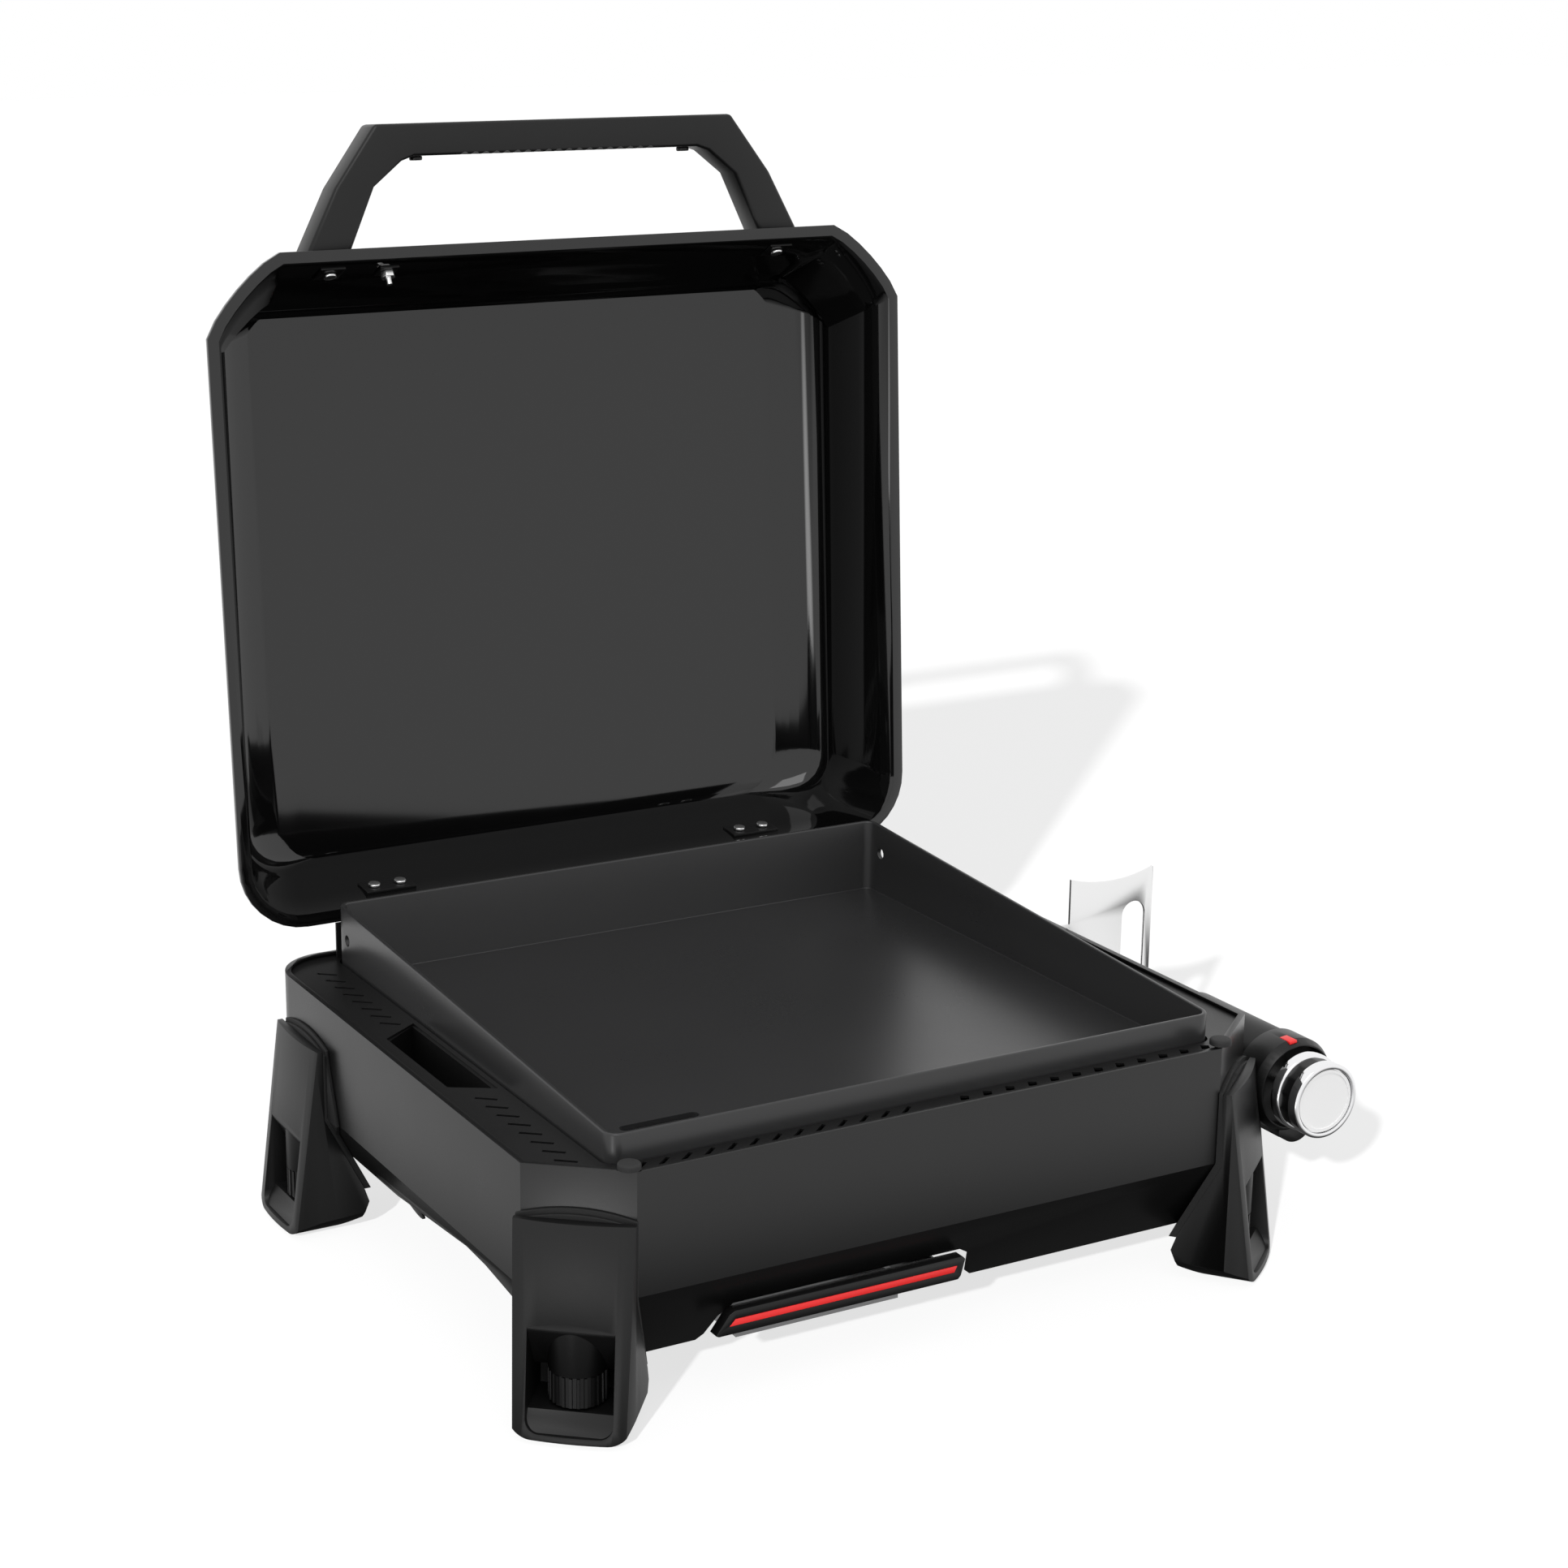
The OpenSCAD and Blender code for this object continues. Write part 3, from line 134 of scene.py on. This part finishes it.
def add_node(tree, kind, settings=None, output=0, **values):
    """Adds a node, sets its options, then its sockets by name or, as "0" and "1", by place."""
    node = tree.nodes.new(kind)
    for key, value in (settings or {}).items():
        setattr(node, key, value)
    for key, value in values.items():
        name = int(key) if key.isdigit() else key.replace("_", " ")
        if isinstance(value, Sock):
            tree.links.new(value.socket, node.inputs[name])
        else:
            node.inputs[name].default_value = value
    return Sock(tree, node.outputs[output])


# %% The white room
SOFTBOX_WAY = Vector((-0.735, -0.622, -0.27))  # where the front corner's bright stripe comes from
DARK_BELOW, WHITE_ABOVE = -0.6, -0.3           # upward part of a direction: straight down is -1
SOFTBOX_RIM, SOFTBOX_MIDDLE = 0.985, 0.998     # cosines of the angle from SOFTBOX_WAY
world = bpy.data.worlds.new("white_room")
scene.world = world
world.use_nodes = True
way = add_node(world.node_tree, "ShaderNodeTexCoord", None, "Generated")
height = way.node("ShaderNodeSeparateXYZ", None, "Z", Vector=way)
room = height.node("ShaderNodeMapRange", None, 0, Value=height, From_Min=DARK_BELOW,
                   From_Max=WHITE_ABOVE, To_Min=0.06, To_Max=1.0)
facing = way.node("ShaderNodeVectorMath", {"operation": "DOT_PRODUCT"}, "Value",
                  **{"0": way, "1": SOFTBOX_WAY.normalized()})
softbox = facing.node("ShaderNodeMapRange", None, 0, Value=facing, From_Min=SOFTBOX_RIM,
                      From_Max=SOFTBOX_MIDDLE, To_Min=0.0, To_Max=4.0)
background = world.node_tree.nodes["Background"]
world.node_tree.links.new((room + softbox).socket, background.inputs["Strength"])
background.inputs["Color"].default_value = (1, 1, 1, 1)


# %% One recipe for all the finishes
def finish(name, colour, rough, metal=0.0, coat=0.0, coat_rough=0.05, mottle=0.15,
           mottle_size=18.0, grain=0.0, grain_size=900.0, stretch=(1, 1, 1), rough_spread=0.08):
    """A surface with cloudy colour, uneven gloss and a fine grain that catches the light."""
    mat = bpy.data.materials.new(name)
    mat.use_nodes = True
    tree = mat.node_tree
    shader = tree.nodes["Principled BSDF"]
    place = add_node(tree, "ShaderNodeTexCoord", None, "Object")
    stretched = add_node(tree, "ShaderNodeMapping", None, 0, Vector=place, Scale=stretch)
    cloud = add_node(tree, "ShaderNodeTexNoise", None, 0, Vector=place, Scale=mottle_size, Detail=4.0)
    fine = add_node(tree, "ShaderNodeTexNoise", None, 0, Vector=stretched, Scale=grain_size, Detail=2.0)
    dark = tuple(c * (1 - mottle) for c in colour) + (1,)
    light = tuple(min(1, c * (1 + mottle)) for c in colour) + (1,)
    shade = add_node(tree, "ShaderNodeMixRGB", None, 0, Fac=cloud, Color1=dark, Color2=light)
    tree.links.new(shade.socket, shader.inputs["Base Color"])
    gloss = (cloud - 0.5) * rough_spread + (fine - 0.5) * rough_spread + rough
    tree.links.new(gloss.socket, shader.inputs["Roughness"])
    shader.inputs["Metallic"].default_value = metal
    shader.inputs["Coat Weight"].default_value = coat
    shader.inputs["Coat Roughness"].default_value = coat_rough
    if grain:
        bump = add_node(tree, "ShaderNodeBump", None, 0, Height=fine, Strength=grain, Distance=0.0002)
        tree.links.new(bump.socket, shader.inputs["Normal"])
    return mat


# %% The finishes
def grey(level, tint=0.02):
    return (level, level, level * (1 + tint))


FINISHES = {
    "body_steel": finish("body_paint", grey(0.005), 0.3, mottle=0.06, grain=0.06),
    "deck_black": finish("deck_paint", grey(0.004), 0.42, mottle=0.1, grain=0.1),
    "griddle_steel": finish("seasoned_steel", grey(0.026), 0.3, mottle=0.08, mottle_size=9,
                            grain=0.08, grain_size=300, stretch=(6, 1, 6)),
    "lid_enamel": finish("gloss_enamel", grey(0.003), 0.06, mottle=0.1, rough_spread=0.02, coat=0.2,
                         grain=0.0),
    "black_plastic": finish("black_plastic", grey(0.003), 0.36, grain=0.12, grain_size=1400),
    "grey_plastic": finish("leg_plastic", grey(0.004), 0.4, grain=0.12, grain_size=1400),
    "bright_steel": finish("bright_steel", grey(0.86, 0), 0.24, metal=1.0, mottle=0.05, grain=0.1,
                           grain_size=700, stretch=(1, 1, 12)),
    "chrome": finish("chrome", grey(0.88, 0.01), 0.07, metal=1.0, mottle=0.03, rough_spread=0.03),
    "face_white": finish("dial_face", grey(0.92, 0.0), 0.3, mottle=0.03, grain=0.05),
    "brass": finish("brass", (0.55, 0.4, 0.16), 0.3, metal=1.0, grain=0.1),
    "red": finish("red_plastic", (0.87, 0.02, 0.02), 0.35, mottle=0.05, grain=0.1),
    "rubber": finish("rubber", grey(0.012), 0.7, grain=0.4, grain_size=1100),
    "liner_black": finish("liner", grey(0.002), 0.7, grain=0.3, grain_size=1200),
    "dull_aluminium": finish("stamped_aluminium", grey(0.3, 0.01), 0.38, metal=1.0, mottle=0.08,
                             grain=0.15, grain_size=500, stretch=(1, 8, 1)),
}
SLOTS = {s["node"]: s["material_slot"] for s in frame["record"]["subparts"]}
DULL_SHEEN = 0.36                           # the mouldings reflect less than paint does
for plastic in ("grey_plastic", "black_plastic"):
    shader = FINISHES[plastic].node_tree.nodes["Principled BSDF"]
    shader.inputs["Specular IOR Level"].default_value = DULL_SHEEN
for name, obj in NODES.items():
    obj.data.materials.clear()
    obj.data.materials.append(FINISHES[SLOTS[name]])
FLOOR_GLOW = 0.73                           # what the floor shows where the sun is hidden
floor.data.materials.append(finish("floor", (0.1, 0.1, 0.1), 0.8, mottle=0.005, rough_spread=0.01))
floor_shader = floor.data.materials[0].node_tree.nodes["Principled BSDF"]
floor_shader.inputs["Emission Color"].default_value = (1, 1, 1, 1)
floor_shader.inputs["Emission Strength"].default_value = FLOOR_GLOW
floor_shader.inputs["Specular IOR Level"].default_value = 0.0
print(len(FINISHES), "finishes on", len(NODES), "nodes")

# %% [markdown]
# ## Tools for shaping a piece by hand
# Every new piece starts as a primitive and is shaped in edit mode, the way it is done with the
# mouse: select some faces or edges, then extrude, inset, bevel or scale them. In a script the
# selecting is done by place: a small test says which faces, edges or points are meant.

# %% A piece in the making
class Shape:
    """A primitive in edit mode, with short names for the moves that the pieces below need."""

    def __init__(self, name, kind, place, scale=(1, 1, 1), **options):
        self.object_mode()
        bpy.ops.object.select_all(action="DESELECT")
        getattr(bpy.ops.mesh, f"primitive_{kind}_add")(location=place, **options)
        self.obj = bpy.context.object
        self.obj.name = self.obj.data.name = name
        self.obj.scale = scale
        self.settle()
        bpy.ops.object.mode_set(mode="EDIT")

    def settle(self):
        bpy.ops.object.transform_apply(location=True, rotation=True, scale=True)

    def pick(self, what, test):
        """Selects the faces, edges or verts whose middle passes the test."""
        mesh = bmesh.from_edit_mesh(self.obj.data)
        bpy.ops.mesh.select_mode(type={"verts": "VERT", "edges": "EDGE", "faces": "FACE"}[what])
        bpy.ops.mesh.select_all(action="DESELECT")
        for item in getattr(mesh, what):
            points = [item.co] if what == "verts" else [v.co for v in item.verts]
            item.select_set(bool(test(sum(points, Vector()) / len(points), item)))
        mesh.select_flush_mode()
        bmesh.update_edit_mesh(self.obj.data)
        return self

    def move(self, x=0.0, y=0.0, z=0.0):
        bpy.ops.transform.translate(value=(x, y, z))
        return self

    def scale(self, x=1.0, y=1.0, z=1.0, about=(0, 0, 0)):
        bpy.ops.transform.resize(value=(x, y, z), center_override=about)
        return self

    def extrude(self, x=0.0, y=0.0, z=0.0):
        bpy.ops.mesh.extrude_region_move(TRANSFORM_OT_translate={"value": (x, y, z)})
        return self

    def inset(self, thickness, depth=0.0, each=False):
        bpy.ops.mesh.inset(thickness=thickness, depth=depth, use_individual=each)
        return self

    def bevel(self, offset, segments=3, profile=0.5, points=False):
        bpy.ops.mesh.bevel(offset=offset, offset_type="OFFSET", segments=segments, profile=profile,
                           affect="VERTICES" if points else "EDGES", clamp_overlap=True)
        return self

    def cut(self, point, normal):
        """Cuts along a plane, takes away what lies beyond it and closes the cut."""
        bpy.ops.mesh.select_all(action="SELECT")
        bpy.ops.mesh.bisect(plane_co=point, plane_no=normal, use_fill=True, clear_outer=True)
        return self

    def modifier(self, kind, **settings):
        self.object_mode()
        mod = self.obj.modifiers.new(kind.lower(), kind)
        for key, value in settings.items():
            setattr(mod, key, value)
        return self

    def drill(self, cutter):
        """Takes another shape out of this one."""
        cutter.object_mode()
        self.modifier("BOOLEAN", object=cutter.obj, operation="DIFFERENCE", solver="EXACT")
        self.apply()
        bpy.data.objects.remove(cutter.obj)
        return self

    def soften(self, width, segments=2, angle=30):
        return self.modifier("BEVEL", width=width, segments=segments, limit_method="ANGLE",
                             angle_limit=math.radians(angle), harden_normals=False)

    def object_mode(self):
        if bpy.context.mode != "OBJECT":
            bpy.ops.object.mode_set(mode="OBJECT")

    def apply(self):
        self.object_mode()
        bpy.ops.object.select_all(action="DESELECT")
        self.obj.select_set(True)
        bpy.context.view_layer.objects.active = self.obj
        for mod in list(self.obj.modifiers):
            bpy.ops.object.modifier_apply(modifier=mod.name)

    def done(self, slot, replaced, smooth=35, at=None):
        """Applies the modifiers, puts the piece in its place and gives it body and finish."""
        self.apply()
        if at is not None:
            self.obj.matrix_world = at
            self.settle()
        return hand_in(self.obj, slot, replaced, smooth)


BODY_OF = {node: body for body, nodes in frame["record"]["behaviour"]["bodies"].items() for node in nodes}


def hand_in(obj, slot, replaced, smooth):
    """The last steps for every piece: outward faces, soft shading, finish, body, and the replaced node
    hidden.
    """
    bpy.ops.object.select_all(action="DESELECT")
    obj.select_set(True)
    bpy.context.view_layer.objects.active = obj
    bpy.ops.object.mode_set(mode="EDIT")
    bpy.ops.mesh.select_all(action="SELECT")
    bpy.ops.mesh.normals_make_consistent(inside=False)
    bpy.ops.object.mode_set(mode="OBJECT")
    bpy.ops.object.shade_smooth_by_angle(angle=math.radians(smooth))
    obj.data.materials.clear()
    obj.data.materials.append(FINISHES[slot])
    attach(obj, BODY_OF[replaced])
    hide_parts(replaced)
    print(f"{obj.name}: {len(obj.data.polygons)} faces")
    return obj


def join(name, shapes):
    """Several shapes made into one piece."""
    for shape in shapes:
        shape.apply()
    bpy.ops.object.select_all(action="DESELECT")
    for shape in shapes:
        shape.obj.select_set(True)
    bpy.context.view_layer.objects.active = shapes[0].obj
    bpy.ops.object.join()
    shapes[0].obj.name = shapes[0].obj.data.name = name
    return shapes[0]


# %% Where things are
def middle(node):
    low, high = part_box(node)
    return (Vector(low) + Vector(high)) / 2


LID_X = middle("lid_shell").x
HINGE = Vector((LID_X, middle("hinge_pins").y, middle("hinge_pins").z))
OPEN = math.radians(93.6)
RIM_BACK, RIM_UP = 9 * MM, 1.8 * MM
# the lid's own frame: x to the right, -y from its rear edge to its front, z up from its rim
LID_PLACE = (Matrix.Translation(HINGE) @ Matrix.Rotation(-OPEN, 4, "X")
             @ Matrix.Translation((0, -RIM_BACK, RIM_UP)))
print("hinge at", tuple(round(v, 4) for v in HINGE))

# %% [markdown]
# ## The lid
# The lid is one deep pressing. It starts as the flat outline of its rim. The two front corners
# are cut off in a shallow arc and the rear ones are round, so the corners of a plane get a vertex
# bevel. The inner face is then drawn upwards in rings, each a little smaller, which is also how a
# press makes it: nearly upright walls, a soft cove along the sides, and a flat roof. The cut
# corners are drawn in as they rise, because the roof's own corners are nearly square.

# %% Draw the lid up from its rim
LID_HALF, LID_LONG, LID_HIGH, SHEET = 268 * MM, 460 * MM, 92 * MM, 1.5 * MM
REAR_ROUND, FRONT_CUT = 46 * MM, 53 * MM
LIP, LID_WALL, COVE_FROM = 5.5 * MM, 246 * MM, 60 * MM
WALL_FLARE, COVE = 16 * MM, 37.5 * MM
CORNER_REACH, CORNER_DRAW = 62 * MM, 0.86   # how far and how much each ring draws a corner in
HEM = 4 * MM
lid = Shape("lid", "plane", (0, -LID_LONG / 2, SHEET), (2 * LID_HALF, LID_LONG, 1), size=1)
lid.pick("verts", lambda p, v: p.y > -LID_LONG / 2).bevel(REAR_ROUND, 8, points=True)
lid.pick("verts", lambda p, v: p.y < -LID_LONG + MM).bevel(FRONT_CUT, 6, profile=0.33, points=True)
lid.pick("faces", lambda p, f: True).inset(LIP)


def lid_ring(height):
    """Half width, rear edge and front edge of the lid's outside at a height above the rim."""
    rise = height / LID_HIGH
    rear, front = 4.5 * MM + 17 * MM * rise, 454.5 * MM - 41 * MM * rise
    if height <= COVE_FROM:
        return LID_WALL + WALL_FLARE * (1 - height / COVE_FROM), rear, front
    turn = (height - COVE_FROM) / (LID_HIGH - COVE_FROM)
    return LID_WALL - COVE * turn ** 3, rear, front


low, ring = SHEET, (LID_HALF - LIP, LIP, LID_LONG - LIP)
for level in (3, 30, 60, 66, 72, 77, 81.5, 85, 88, 90, 91.3, 92):
    level *= MM
    half, rear, front = lid_ring(level)
    lid.pick("faces", lambda p, f: abs(p.z - low) < 1e-5 and len(f.verts) > 8)
    lid.extrude(z=level - low)
    lid.scale(half / ring[0], (front - rear) / (ring[2] - ring[1]), 1, about=(0, -ring[1], 0))
    lid.move(y=ring[1] - rear)
    if level > COVE_FROM:
        for side in (-1, 1):
            lid.pick("verts", lambda p, v: p.z > level - 1e-5 and p.y < CORNER_REACH - front
                     and p.x * side > half - CORNER_REACH)
            lid.scale(CORNER_DRAW, CORNER_DRAW, 1, about=(side * half, -front, level))
    ring, low = (half, rear, front), level
roof_y = (ring[1] + ring[2]) / 2
lid.pick("edges", lambda p, e: p.z > LID_HIGH - 0.1 * MM and abs(p.y + roof_y) > 185 * MM)
lid.bevel(5 * MM, 3)
lid.pick("edges", lambda p, e: e.is_boundary).extrude(z=HEM - SHEET)
lid.modifier("SOLIDIFY", thickness=SHEET, offset=-1.0, use_even_offset=True)
lid.soften(0.5 * MM, angle=50)
lid.done("lid_enamel", "lid_shell", smooth=28, at=LID_PLACE)

# %% [markdown]
# ## The handle
# Half the handle is drawn out of the grip: its end face is pulled sideways to the corner, then
# down the arm to the foot, and the inner points at each bend are moved to give the right slant. A
# mirror makes the other half. The finger grooves are cut last, with a row of small rods.

# %% Pull the arms out of the grip
GRIP_IN, GRIP_OUT = 521, 543                # mm from the lid's rear to the grip's two faces
REAR_FACE, FRONT_FACE = 12, 36              # mm above the rim
HALF_GRIP = 110
handle = Shape("handle", "cube",
               Vector((HALF_GRIP / 2, -(GRIP_IN + GRIP_OUT) / 2, (REAR_FACE + FRONT_FACE) / 2)) * MM,
               Vector((HALF_GRIP, GRIP_OUT - GRIP_IN, FRONT_FACE - REAR_FACE)) * MM, size=1)


def near(*spots):
    """A test that passes the points above or below any of the spots, given as (x, y) in mm."""
    return lambda p, v: any(math.hypot(p.x - x * MM, p.y - y * MM) < 0.6 * MM for x, y in spots)


handle.pick("faces", lambda p, f: f.normal.x < -0.9)
bpy.ops.mesh.delete(type="FACE")
handle.pick("verts", near((HALF_GRIP, -GRIP_IN), (HALF_GRIP, -GRIP_OUT))).extrude(x=28 * MM)
handle.pick("verts", near((138, -GRIP_IN))).move(x=-19 * MM, y=3 * MM)
handle.pick("verts", near((119, -518), (138, -GRIP_OUT))).extrude(x=31 * MM, y=41.5 * MM)
handle.pick("verts", near((150, -476.5))).move(x=-10 * MM, y=-25 * MM)
handle.pick("verts", near((140, -501.5), (169, -501.5))).extrude(x=22 * MM, y=41.5 * MM)
handle.pick("verts", near((162, -460))).move(x=-3 * MM)
handle.pick("verts", near((159, -460), (191, -460))).extrude(y=8 * MM)
handle.pick("verts", lambda p, v: p.y > -453 * MM and p.z < 20 * MM).move(y=2.6 * MM)
handle.pick("verts", lambda p, v: p.y > -453 * MM and p.z > 20 * MM).move(y=13.2 * MM)
handle.modifier("MIRROR", use_axis=(True, False, False), merge_threshold=0.01 * MM)
handle.soften(2.6 * MM, 3)
handle.apply()
GROOVE_STEP, GROOVE_R = 8, 3
rod_y, rod_z = 1.2 - GRIP_IN, (REAR_FACE + FRONT_FACE) / 2
rods = [Shape("rod", "cylinder", Vector((k * GROOVE_STEP, rod_y, rod_z)) * MM,
              vertices=24, radius=GROOVE_R * MM, depth=60 * MM)
        for k in range(-9, 10)]
handle.drill(join("rods", rods))
handle.done("black_plastic", "lid_handle", at=LID_PLACE, smooth=40)

# %% [markdown]
# ## The griddle plate
# A block is cut along a slope so that its walls fall towards the front, its top is inset to the
# thickness of the plate, and the inner face is pushed down and made level for the cooking floor.

# %% Hollow out the plate
def upright(edge):
    """How far an edge climbs."""
    return abs(edge.verts[0].co.z - edge.verts[1].co.z)


PAN_W, PAN_D, PAN_T = 432 * MM, 406 * MM, 3 * MM
FRONT_WALL, WALL_RISE = 30 * MM, 22.5 / 403  # height at the front, and how the walls climb to the rear
pan_low, pan_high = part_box("griddle_pan")
floor_up = 3.5 * MM                         # the cooking floor above the plate's underside
pan_place = Matrix.Translation(((pan_low[0] + pan_high[0]) / 2, (pan_low[1] + pan_high[1]) / 2, pan_low[2]))
tall = pan_high[2] - pan_low[2]
pan = Shape("griddle_plate", "cube", (0, 0, tall / 2), (PAN_W, PAN_D, tall), size=1)
pan.pick("edges", lambda p, e: upright(e) > tall / 2).bevel(9 * MM, 6)
front_z = floor_up + FRONT_WALL
pan.cut((0, -PAN_D / 2, front_z), (0, -WALL_RISE, 1))
pan.pick("faces", lambda p, f: f.normal.z > 0.9)
pan.inset(PAN_T)
pan.extrude(z=-20 * MM)
pan.scale(1, 1, 0, about=(0, 0, floor_up))
pan.pick("edges", lambda p, e: abs(p.z - floor_up) < 0.01 * MM).bevel(5 * MM, 4)
pan.pick("edges", lambda p, e: p.z > front_z - MM and e.calc_face_angle(0) > 0.8).bevel(1.1 * MM, 3)
slot_hole = Shape("slot", "cube", (-145 * MM, 71 * MM - PAN_D / 2, 0), (54 * MM, 8 * MM, 30 * MM), size=1)
slot_hole.pick("edges", lambda p, e: upright(e) > MM).bevel(3.9 * MM, 4)
pan.drill(slot_hole)
side_hole = Shape("hole", "cylinder", (0, PAN_D / 2 - 18 * MM, floor_up + 30.5 * MM), vertices=32,
                  radius=4 * MM, depth=PAN_W + 20 * MM, rotation=(0, math.pi / 2, 0))
pan.drill(side_hole)
pan.done("griddle_steel", "griddle_pan", at=pan_place, smooth=30)

# %% [markdown]
# ## Bumpers, levelling wheels and the knob
# The round pieces start as cylinders. A wheel's ribs are every second face of its side, raised a
# little. The knob is four pieces, one behind the other: face, bright ring, dark grip, bright skirt.

# %% Two rubber bumpers
BUMPER_R, BUMPER_H = 7 * MM, 3.8 * MM
bumper_low, bumper_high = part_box("lid_bumpers")
bumper_z = bumper_high[2] - 4 * MM + BUMPER_H / 2
bumpers = []
for x in (bumper_low[0] + BUMPER_R, bumper_high[0] - BUMPER_R):
    bumper = Shape("bumper", "cylinder", (x, (bumper_low[1] + bumper_high[1]) / 2, bumper_z),
                   vertices=48, radius=BUMPER_R, depth=BUMPER_H)
    bumper.pick("edges", lambda p, e: p.z > bumper_z + BUMPER_H / 2 - 0.1 * MM).bevel(1.6 * MM, 4)
    bumper.pick("faces", lambda p, f: f.normal.z < -0.9).inset(3 * MM)
    bumper.extrude(z=-1 * MM)
    bumpers.append(bumper)
join("bumpers", bumpers).done("rubber", "lid_bumpers")

# %% Four ribbed wheels
RIBS, RIB_HIGH = 24, 0.9 * MM
CORNERS = ("front_left", "front_right", "rear_left", "rear_right")
for corner in CORNERS:
    low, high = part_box("wheel_" + corner)
    radius = (high[0] - low[0]) / 2 - 0.4 * MM
    centre = middle("wheel_" + corner)
    wheel = Shape("ribbed_wheel_" + corner, "cylinder", centre, vertices=2 * RIBS,
                  radius=radius - RIB_HIGH, depth=high[2] - low[2])
    wheel.pick("faces", lambda p, f: abs(f.normal.z) < 0.1
               and round(math.atan2(p.y - centre.y, p.x - centre.x) / (math.pi / RIBS) - 0.5) % 2 == 0)
    wheel.inset(0.25 * MM, RIB_HIGH, each=True)
    wheel.pick("faces", lambda p, f: abs(f.normal.z) > 0.9).inset(1.2 * MM, 0.0)
    wheel.done("grey_plastic", "wheel_" + corner, smooth=30)


# %% The knob, from its face back to its skirt
def turned(name, node, vertices, radius, length):
    """A cylinder along Y at the knob's axis, its front flush with the node's front."""
    low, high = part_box(node)
    spot = middle(node)
    return Shape(name, "cylinder", (spot.x, low[1] + length / 2, spot.z), vertices=vertices, radius=radius,
                 depth=length, rotation=(math.pi / 2, 0, 0)), low[1]


ring_piece, front = turned("bright_ring", "knob_ring", 96, 25.4 * MM, 6.9 * MM)
ring_piece.pick("faces", lambda p, f: f.normal.y < -0.9).inset(1.2 * MM, 0.5 * MM)
ring_piece.inset(2.2 * MM)
ring_piece.extrude(y=2.6 * MM)
ring_piece.pick("edges", lambda p, e: p.y < front + 0.6 * MM and e.calc_face_angle(0) > 0.3)
ring_piece.bevel(0.5 * MM, 2)
ring_piece.done("chrome", "knob_ring", smooth=40)

face_piece, front = turned("dial_face", "knob_face", 96, 21.2 * MM, 1.2 * MM)
face_piece.pick("faces", lambda p, f: f.normal.y < -0.9).inset(1.6 * MM)
face_piece.inset(0.5 * MM)
face_piece.extrude(y=0.4 * MM)
face_piece.done("face_white", "knob_face", smooth=40)

FLATS = 14
grip_piece, front = turned("knob_flats", "knob_grip", FLATS, 24.4 * MM, 9 * MM)
grip_piece.pick("edges", lambda p, e: abs(e.verts[0].co.y - e.verts[1].co.y) > 5 * MM).bevel(1.1 * MM, 3)
grip_piece.pick("faces", lambda p, f: abs(f.normal.y) > 0.9).inset(0.8 * MM, 0.0)
grip_piece.done("black_plastic", "knob_grip", smooth=30)

skirt_piece, front = turned("bright_skirt", "knob_skirt", 96, 26.3 * MM, 6.9 * MM)
skirt_piece.pick("edges", lambda p, e: abs(p.y - front) < 0.1 * MM).bevel(1.8 * MM, 4)
skirt_piece.done("chrome", "knob_skirt", smooth=40)

# %% [markdown]
# ## Soft edges for the sheet metal and the mouldings
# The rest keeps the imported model's own shapes, which are right but knife-edged. A copy of each is
# cleaned of the extra edges that flat faces carry, and its corners are rounded a little, so that
# they catch the light the way a pressing or a moulding does.

# %% Round the corners of copies
def softened(node, width):
    """A copy of a node with clean flat faces and rounded corners, standing in for it."""
    source = NODES[node]
    copy = bpy.data.objects.new("soft_" + node, source.data.copy())
    scene.collection.objects.link(copy)
    copy.matrix_world = source.matrix_world
    bpy.ops.object.select_all(action="DESELECT")
    copy.select_set(True)
    bpy.context.view_layer.objects.active = copy
    bpy.ops.object.transform_apply(location=True, rotation=True, scale=True)
    bpy.ops.object.mode_set(mode="EDIT")
    bpy.ops.mesh.select_all(action="SELECT")
    bpy.ops.mesh.remove_doubles(threshold=0.01 * MM)
    bpy.ops.mesh.dissolve_limited(angle_limit=math.radians(1))
    bpy.ops.object.mode_set(mode="OBJECT")
    mod = copy.modifiers.new("bevel", "BEVEL")
    mod.width, mod.segments, mod.use_clamp_overlap = width, 2, True
    mod.limit_method, mod.angle_limit = "ANGLE", math.radians(25)
    bpy.ops.object.modifier_apply(modifier="bevel")
    return hand_in(copy, SLOTS[node], node, smooth=40)


for corner in CORNERS:
    softened("leg_" + corner, 1.2 * MM)
    softened("liner_" + corner, 0.5 * MM)
EDGE_WIDTHS = {"body_shell": 0.8, "tube_bezel": 1.0, "control_tube": 0.8, "tube_saddle": 2.0,
               "tray_handle": 1.4, "tray_stripe": 0.3, "cylinder_bracket": 0.6, "index_mark": 0.4,
               "hinge_plates": 0.4, "handle_washers": 0.4, "handle_brace_nut": 0.4,
               "handle_screws": 0.8, "hinge_screws": 0.8, "handle_nubs": 0.8}
for node, width in EDGE_WIDTHS.items():
    softened(node, width * MM)
